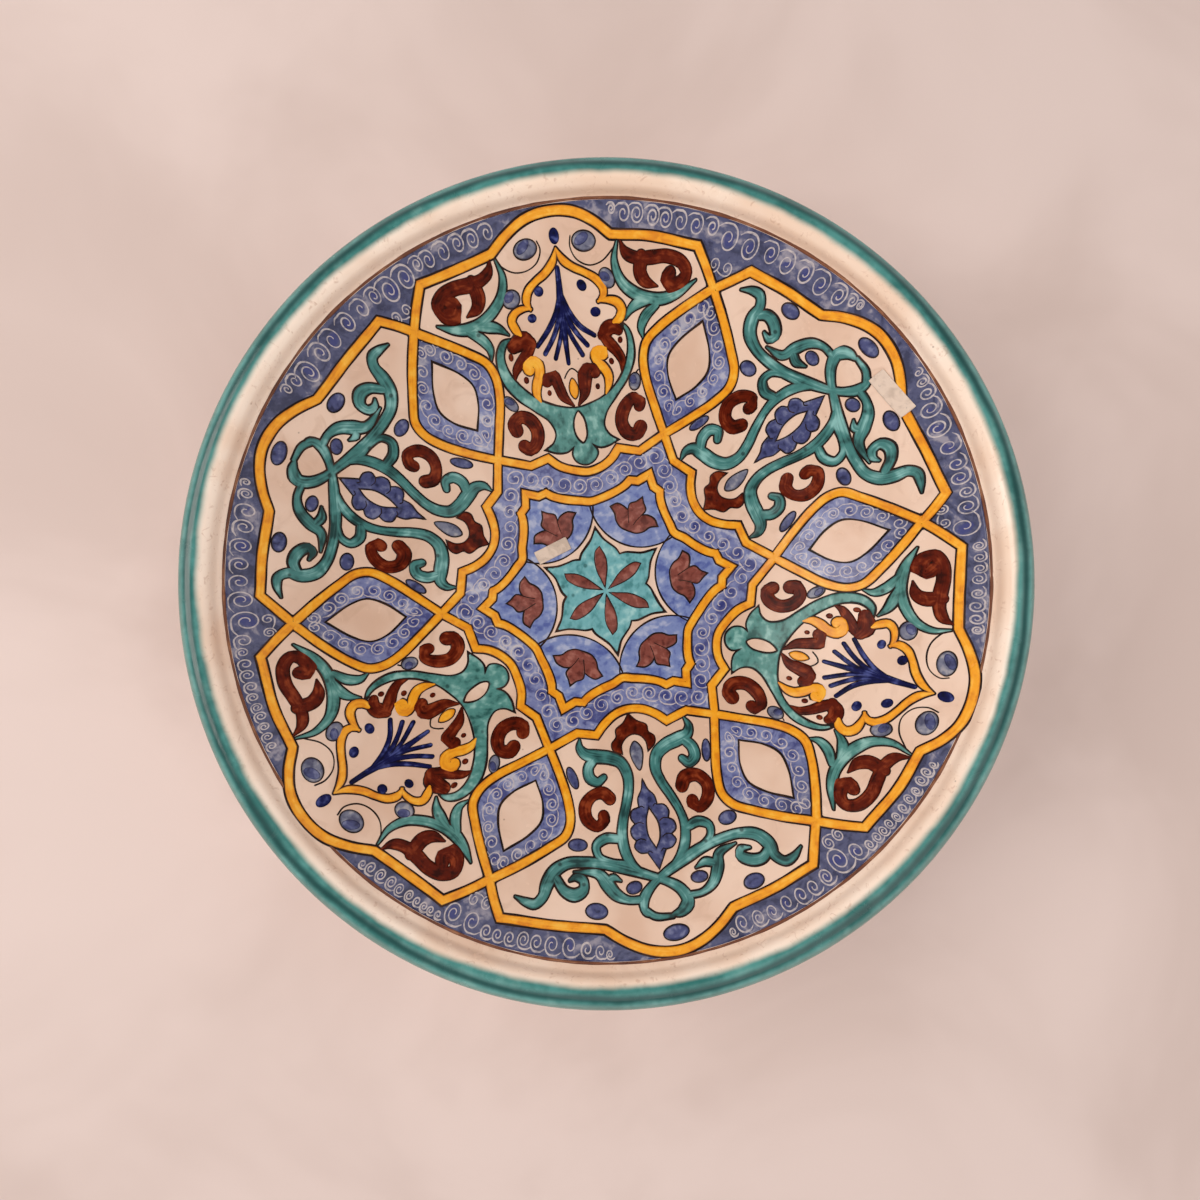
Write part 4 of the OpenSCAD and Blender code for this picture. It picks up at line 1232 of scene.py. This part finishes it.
# Blue wash: everything between the border ring, the medallions, the star and the lozenges
tucked = []
for loop in strap_loops:
    away = loop - BORDER_OFF
    tucked.append(BORDER_OFF + away * np.minimum(1, (BORDER_R - 1.1) / np.hypot(*away.T))[:, None])
ground = Coat(GROUND)
ground.fill(BORDER_OFF + polar(circle, BORDER_R - 0.5), tucked + [star_loop] + lozenge_loops)
settle(ground.piece("blue_wash_ground"), BLUE_WASH, "blue_wash_paint", "scroll_ground")

# Pale running scrolls over the wash, each with a deeper dab behind it
dabs, curls = Coat(DABS), Coat(CURLS)


def along(path, s, off):
    """Points at arc lengths s along a path and off to its left."""
    total = lengths(path)
    ahead = unit(np.gradient(path[:, :2], axis=0))
    at = np.stack([np.interp(s, total, path[:, k]) for k in (0, 1)], 1)
    way = np.stack([np.interp(s, total, ahead[:, k]) for k in (0, 1)], 1)
    return at + off[:, None] * np.stack([-way[:, 1], way[:, 0]], 1)


def curl(path, at, off, r, pitch, width, hand):
    """One spiral, centred at a length along the path and off to its left, with a deep dab behind."""
    turns = rng.uniform(1.25, 1.85)
    t = np.linspace(0, 1, 30)
    a = np.radians(-100 + rng.uniform(-15, 15) + 360 * turns * t)
    shrink = r * (1 - 0.8 * t**1.15)
    u = np.concatenate([[-0.66 * pitch, -0.4 * pitch], shrink * np.cos(a)])
    v = np.concatenate([[-0.62 * r, -0.93 * r], shrink * np.sin(a)]) + rng.uniform(-0.06, 0.06) * r
    s = at + u + rng.uniform(-0.05, 0.05) * pitch
    flat = along(path, np.clip(s, 0, lengths(path)[-1]), off + hand * v)
    w = width * rng.uniform(0.85, 1.15) * np.concatenate([[0.5, 0.9], 1.05 - 0.3 * t])
    curls.stroke(smooth(np.column_stack([flat, w]), 0.8), waver=0.2, lift=rng.uniform(0, 0.008))
    middle = along(path, np.array([at + 0.1 * r]), np.array([off + hand * 0.05 * r]))[0]
    long = r * rng.uniform(0.8, 1.1)
    short = r * rng.uniform(0.55, 0.95)
    turn = rng.uniform(0, 180)
    dabs.fill(ellipse(*middle, long, short, turn, 20), lift=rng.uniform(0, 0.009), grid=2)


def curl_row(path, pitch, radius, width, hand=1):
    """Spirals that spring one from another along a path. radius is theirs at its start, its
    middle and its end."""
    total = lengths(path)[-1]
    count = max(1, round(total / pitch))
    for k in range(count):
        r = np.interp((k + 0.5) / count, (0, 0.5, 1), radius) * rng.uniform(0.86, 1.1)
        curl(path, (k + 0.5) * total / count, 0, r, total / count, width, hand)


def strap_reach(angle):
    """How far from the border ring's middle the straps come, near an angle."""
    away = np.vstack(strap_loops) - BORDER_OFF
    off = (np.degrees(np.arctan2(away[:, 1], away[:, 0])) - angle + 180) % 360 - 180
    return np.hypot(*away[np.abs(off) < 1.6].T).max() + STRAP_W / 2 + LINE_W


def border_curls(spoke_angle):
    """Spirals that fill the band between the border ring and the straps, to each side of a spoke."""
    half, margin = 23.0, 4                  # degrees: to each side, and of path to spare beyond
    least, most = 1.7, 5.6                  # the smallest and the largest spiral's radius
    rim_in = BORDER_R - 1.2
    path = BORDER_OFF + polar(spoke_angle + np.linspace(half + margin, -half - margin, 160), rim_in)
    total = lengths(path)[-1]
    mm_per_degree = total / (2 * (half + margin))
    at = margin * mm_per_degree
    while at < total - margin * mm_per_degree:
        angle = spoke_angle + half + margin - at / mm_per_degree
        r = min((rim_in - strap_reach(angle)) / 2, most)
        if r < least:
            at += 1.5
            continue
        at += r
        r *= rng.uniform(0.82, 1.0)
        curl(path, at, rng.uniform(-1.15, -1.0) * r, r, 2 * r, CURL_W, -1)
        at += r * rng.uniform(0.95, 1.5)


for k, loop in enumerate(lozenge_loops):
    hand = 1 if k % 2 else -1
    side, _ = mitre(loop, True)
    inwards = inside(loop[:1] + side[:1] * 0.5, [loop])[0]
    grown = loop + side * (-LOZENGE_OFF if inwards else LOZENGE_OFF)
    curl_row(np.vstack([grown, grown[:1]]), 8.0, (3.5, 3.5, 3.5), 0.66, hand)
    row = np.vstack([spokes[k](flipped(SCROLL_PATH)[::-1][:-1]), spokes[k](SCROLL_PATH)])
    curl_row(smooth(row, 1.0), 9.4, (4.3, 5.0, 4.3), 0.7, -hand)
    border_curls(SPOKES[k][0][0])
    curl_row(smooth(spokes[k](TOP_PATH), 1.0), 8, (2.6, 3, 2.6), 0.66)

settle(dabs.piece("wash_dabs"), DEEP_DABS, "blue_wash_paint")
settle(curls.piece("scroll_curls"), PALE_CURLS, "blue_wash_paint")

# Straps, border ring and lozenges
straps = Coat(COLOUR)
for n, loop in enumerate(strap_loops):
    outlines.stroke(banded(loop, STRAP_W + 2 * LINE_W), closed=True, waver=0.05, lift=0.004 * n, even=True)
    straps.stroke(banded(loop, STRAP_W), closed=True, waver=0.07, lift=0.005 * n, even=True)
settle(straps.piece("medallion_strapwork"), OCHRE, "ochre_paint", "medallion_straps")

star = Coat(COLOUR)
outlines.stroke(banded(star_loop, STRAP_W + 2 * LINE_W), closed=True, waver=0.05)
star.stroke(banded(star_loop, STRAP_W), closed=True, waver=0.07)
settle(star.piece("star_strapwork"), OCHRE, "ochre_paint", "star_strap")

ring = Coat(CURLS + 0.01)
ring.line(BORDER_OFF + polar(circle, BORDER_R + 0.1), 1.3, closed=True, waver=0.3)
settle(ring.piece("border_ring"), BORDER_BROWN, "manganese_paint", "border_line")

lozenge_rings = Coat(COLOUR)
for loop in lozenge_loops:
    lozenge_rings.line(loop, 1.15, closed=True, waver=0.3)
settle(lozenge_rings.piece("lozenge_rings"), INK, "manganese_paint", "lozenge_lines")


# Rosette
def run_of(points, keep):
    """The points to keep, which are one run, in order from its start."""
    first = int(np.argmax(~keep))
    return np.roll(points, -first, 0)[np.roll(keep, -first)]


def clipped(shape, loop):
    """The outline of the part of a round shape that lies within a loop."""
    arc = run_of(shape, inside(shape, [loop]))
    edge = run_of(loop, inside(loop, [shape]))
    if np.hypot(*(edge[0] - arc[-1])) > np.hypot(*(edge[-1] - arc[-1])):
        edge = edge[::-1]
    return np.vstack([arc, edge])


lobes, flowers, petals, star_points = Coat(GROUND), Coat(COLOUR), Coat(OVER), Coat(COLOUR)
ON_TOP = OVER - LINES       # lifts an outline over the coats
star_outline = []
c, s = np.cos(np.pi / 6), np.sin(np.pi / 6)
turned_petal = [(x * c + y * s, y * c - x * s) for x, y in PETAL]
for k, place in enumerate(spokes):
    x, y, r = LOBE
    lobe = clipped(place(ellipse(x, y, r, r, 0, 190)), star_loop)
    lobes.fill(lobe, lift=0.004 * (k % 2))
    outlines.line(lobe, 1.0, closed=True)
    flower = outline_of(place, FLOWER)
    flowers.fill(flower, grid=3)
    outlines.line(flower, 1.3, closed=True, lift=0.01)
    for vein in FLOWER_VEINS:
        outlines.line(smooth(place(vein)), 0.55, lift=ON_TOP)
    petal = outline_of(place, turned_petal)
    petals.fill(petal, grid=3)
    outlines.stroke(banded(petal, 1.1), closed=True, waver=0.25, lift=ON_TOP - 0.03)
for k in CLOCKWISE:
    star_outline += spokes[k](flipped(STAR_POINT)[::-1] + STAR_POINT[2:-2]).tolist()
star_shape = smooth(star_outline, closed=True)
star_points.fill(star_shape)
outlines.line(star_shape, 2.0, closed=True)
settle(lobes.piece("rosette_lobe_wash"), LOBE_BLUE, "blue_wash_paint", "rosette_lobes")
settle(star_points.piece("rosette_star_green"), STAR_TEAL, "green_paint", "rosette_star")
settle(petals.piece("rosette_petal_strokes"), PETAL_BROWN, "manganese_paint", "rosette_petals")
settle(flowers.piece("rosette_tulips"), PETAL_BROWN, "manganese_paint", "rosette_flowers")


def strokes(coat, place, lines, edge):
    """Brush strokes with a dark line showing round their edge."""
    for n, line in enumerate(lines):
        path = smooth(place(line))
        outlines.stroke(path, grow=2 * edge, lift=0.003 * (n % 4))
        coat.stroke(path, lift=0.005 * (n % 5))


def shapes(coat, place, outline, holes=(), edge=LINE_W, grid=GRID):
    """A filled shape with a dark line showing round its edge and round its holes."""
    loops = [outline_of(place, loop) for loop in (outline, *holes)]
    coat.fill(loops[0], loops[1:], grid=grid)
    for loop in loops:
        outlines.line(loop, 2 * edge, closed=True)


def spotted(coat, place, dabs, line=0):
    """Oval dabs, with a dark line round each if line gives its width."""
    for dab in dabs:
        outline = place(ellipse(*dab))
        coat.fill(outline, grid=2)
        if line:
            outlines.line(outline, line, closed=True)


# Palmettes
vases, arches, scrolls, sprays = Coat(COLOUR), Coat(COLOUR), Coat(COLOUR), Coat(COLOUR)
commas, dots, ovals = Coat(COLOUR), Coat(COLOUR), Coat(COLOUR)
for place in palmettes:
    shapes(vases, place, VASE, [VASE_EYE], grid=3)
    strokes(vases, place, SPRIGS, 0.75)
    strokes(arches, place, ARCH_STROKES, 0.7)
    shapes(arches, place, SEED, edge=0.5, grid=2)
    outlines.line(smooth(place(SEED_HOOD)), 0.8)
    strokes(scrolls, place, SCROLL_STROKES, 0.25)
    spotted(scrolls, place, SHELL_DOTS)
    strokes(sprays, place, SPRAY, 0.2)
    spotted(sprays, place, SPRAY_DOTS)
    for x, y, rx, ry, turn in PALMETTE_OVALS:
        spotted(ovals, place, [(x, y, rx, ry, turn)], OVAL_LINE)
        inner = ellipse(x - 0.2 * rx, y + 0.25 * ry, 0.68 * rx, 0.6 * ry, turn + 20)
        dots.fill(place(inner), lift=0.06, grid=2)
    for tail in PALMETTE_TAILS:
        outlines.line(smooth(place(tail)), 0.8)
    strokes(commas, place, PALMETTE_COMMAS, 0.2)

# Arabesques
vines, almonds, crowns = Coat(COLOUR), Coat(COLOUR), Coat(COLOUR)
for place in arabesques:
    strokes(vines, place, VINE_STROKES, 0.75)
    shapes(almonds, place, ALMOND, [ALMOND_EYE], 0.6, 3)
    # A divider runs in from each notch between the almond's scallops, which are doubled points
    for x, y in [p for p, after in zip(ALMOND, ALMOND[1:]) if p == after and 118 < p[1] < 148]:
        divider = [(x, y), (mix(x, -2, 0.25), y - 0.5), (mix(x, -2, 0.5), y + 0.6)]
        outlines.line(smooth(place(divider)), 0.6, lift=ON_TOP)
    shapes(crowns, place, CROWN, edge=0.5, grid=3)
    shapes(ovals, place, TEARDROP, edge=OVAL_LINE / 2, grid=2)
    spotted(dots, place, ARABESQUE_OVALS, OVAL_LINE)
    strokes(commas, place, ARABESQUE_COMMAS, 0.2)

for coat, name, material, slot, *nodes in (
    (vases, "palmette_vase_green", VASE_TEAL, "green_paint", "palmette_vases"),
    (arches, "palmette_arch_ochre", OCHRE, "ochre_paint", "palmette_arches"),
    (scrolls, "palmette_scroll_brown", BROWN, "manganese_paint", "palmette_scrolls"),
    (sprays, "palmette_spray_cobalt", COBALT, "cobalt_paint", "palmette_sprays"),
    (vines, "arabesque_green", TEAL, "green_paint", "arabesques"),
    (almonds, "arabesque_almond_blue", SLATE, "cobalt_paint", "arabesque_almonds"),
    (crowns, "arabesque_crown_brown", BROWN, "manganese_paint", "arabesque_crowns"),
    (commas, "comma_strokes", BROWN, "manganese_paint", "comma_leaves"),
    (dots, "cobalt_ovals", SLATE, "cobalt_paint", "cobalt_dots"),
    (ovals, "pale_ovals", PALE_BLUE, "cobalt_paint"),
    (outlines, "brush_outlines", INK, "manganese_paint"),
):
    settle(coat.piece(name), material, slot, *nodes)


# ---------------------------------------------------------------------------
# Blank paper labels
# ---------------------------------------------------------------------------

PAPER = label_paper()
PAPER_T = 0.12
PAPER_LIFT = 0.36       # the height of a label's underside over the glaze


def label(name, node, turn, size, lifted):
    """A small blank label stuck over the paint, with one corner lifting."""
    low, high = cad_corners(node)
    at = (low + high)[:2] / 2
    rows, columns = 37, 15
    u, v = np.meshgrid(np.linspace(-0.5, 0.5, rows), np.linspace(-0.5, 0.5, columns), indexing="ij")
    soft = 1 - 0.35 * np.clip(np.abs(u) * 2 - 0.9, 0, 1) * np.clip(np.abs(v) * 2 - 0.6, 0, 1)
    x = u * size[0] * soft
    y = v * size[1] * soft
    c, s = np.cos(np.radians(turn)), np.sin(np.radians(turn))
    xy = np.stack([at[0] + x * c - y * s, at[1] + x * s + y * c], -1).reshape(-1, 2)
    corner = np.clip((u * lifted[0] + v * lifted[1]) * 2 - 0.9, 0, 1)
    out = (PAPER_LIFT + 0.9 * corner**1.5 + 0.04 * np.sin(u * 19) * np.sin(v * 9 + 1)).ravel()
    grid, quads = grid_quads(rows, columns)
    n = rows * columns
    around = np.concatenate([grid[:, 0], grid[-1, 1:], grid[-2::-1, -1], grid[0, -2:0:-1]])
    after = np.roll(around, -1)
    faces = np.vstack([quads, quads[:, ::-1] + n, np.stack([after, around, around + n, after + n], 1)])
    points = np.vstack([lay(xy, out + PAPER_T), lay(xy, out)])
    piece = make(name, points, faces.tolist(), range(2 * len(quads), len(faces)))
    settle(piece, PAPER, "label_paper", node)


label("label_on_wall", "wall_label", -52, (26, 7), (-1, 0.5))
label("label_in_well", "well_label", 27, (21, 8), (1, 0.6))

# ---------------------------------------------------------------------------
# Floor, light and camera
# ---------------------------------------------------------------------------


def floor(size=3.0, cuts=60):
    """A pale cloth floor, just uneven enough not to look like a card."""
    line = np.linspace(-size / 2, size / 2, cuts)
    x, y = np.meshgrid(line, line, indexing="ij")
    far = np.clip((np.hypot(x, y) - 0.32) / 0.4, 0, 1)
    z = -0.0006 * far * (1 + np.sin(x * 7 + np.sin(y * 5)) * np.sin(y * 6))
    _, quads = grid_quads(cuts, cuts)
    cloth = make("floor", np.stack([x, y, z], -1).reshape(-1, 3), quads.tolist())
    cloth.data.materials.append(floor_cloth())


def area_light(name, place, size, power, colour):
    """A round soft light that looks at the dish."""
    light = bpy.data.lights.new(name, "AREA")
    light.shape = "DISK"
    light.size = size
    light.energy = power
    light.color = colour
    lamp = linked(name, light)
    lamp.location = place
    lamp.rotation_euler = (LIGHT_AIM - Vector(place)).to_track_quat("-Z", "Y").to_euler()


LIGHT_AIM = Vector((0, 0, 0.05))

floor()
area_light("window", (-1.15, 0.15, 1.45), 1.1, 13, (1.0, 0.93, 0.86))
area_light("ceiling", (0.5, -0.6, 1.9), 1.8, 9, (1.0, 0.95, 0.9))

# The room's light: brighter towards the horizon than overhead

world = bpy.data.worlds.new("studio")
world.use_nodes = True
bpy.context.scene.world = world
sky = world.node_tree
sky.nodes["Background"].inputs["Color"].default_value = (1.0, 0.94, 0.9, 1)
view = sky.nodes.new("ShaderNodeTexCoord")
split = sky.nodes.new("ShaderNodeSeparateXYZ")
brightness = sky.nodes.new("ShaderNodeMapRange")
brightness.interpolation_type = "SMOOTHSTEP"
for socket, value in (("From Min", 0.75), ("From Max", 0), ("To Min", 0.4), ("To Max", 1.45)):
    brightness.inputs[socket].default_value = value
sky.links.new(view.outputs["Generated"], split.inputs[0])
sky.links.new(split.outputs["Z"], brightness.inputs["Value"])
sky.links.new(brightness.outputs[0], sky.nodes["Background"].inputs["Strength"])
bpy.context.scene.view_settings.view_transform = "Standard"

lens = bpy.data.cameras.new("photo_camera")
lens.lens = 27
lens.sensor_width = 36
camera = linked("photo_camera", lens)
camera.location = (-0.00302, -0.02678, 0.54914)
camera.rotation_euler = (np.radians(2), 0, 0)
bpy.context.scene.camera = camera
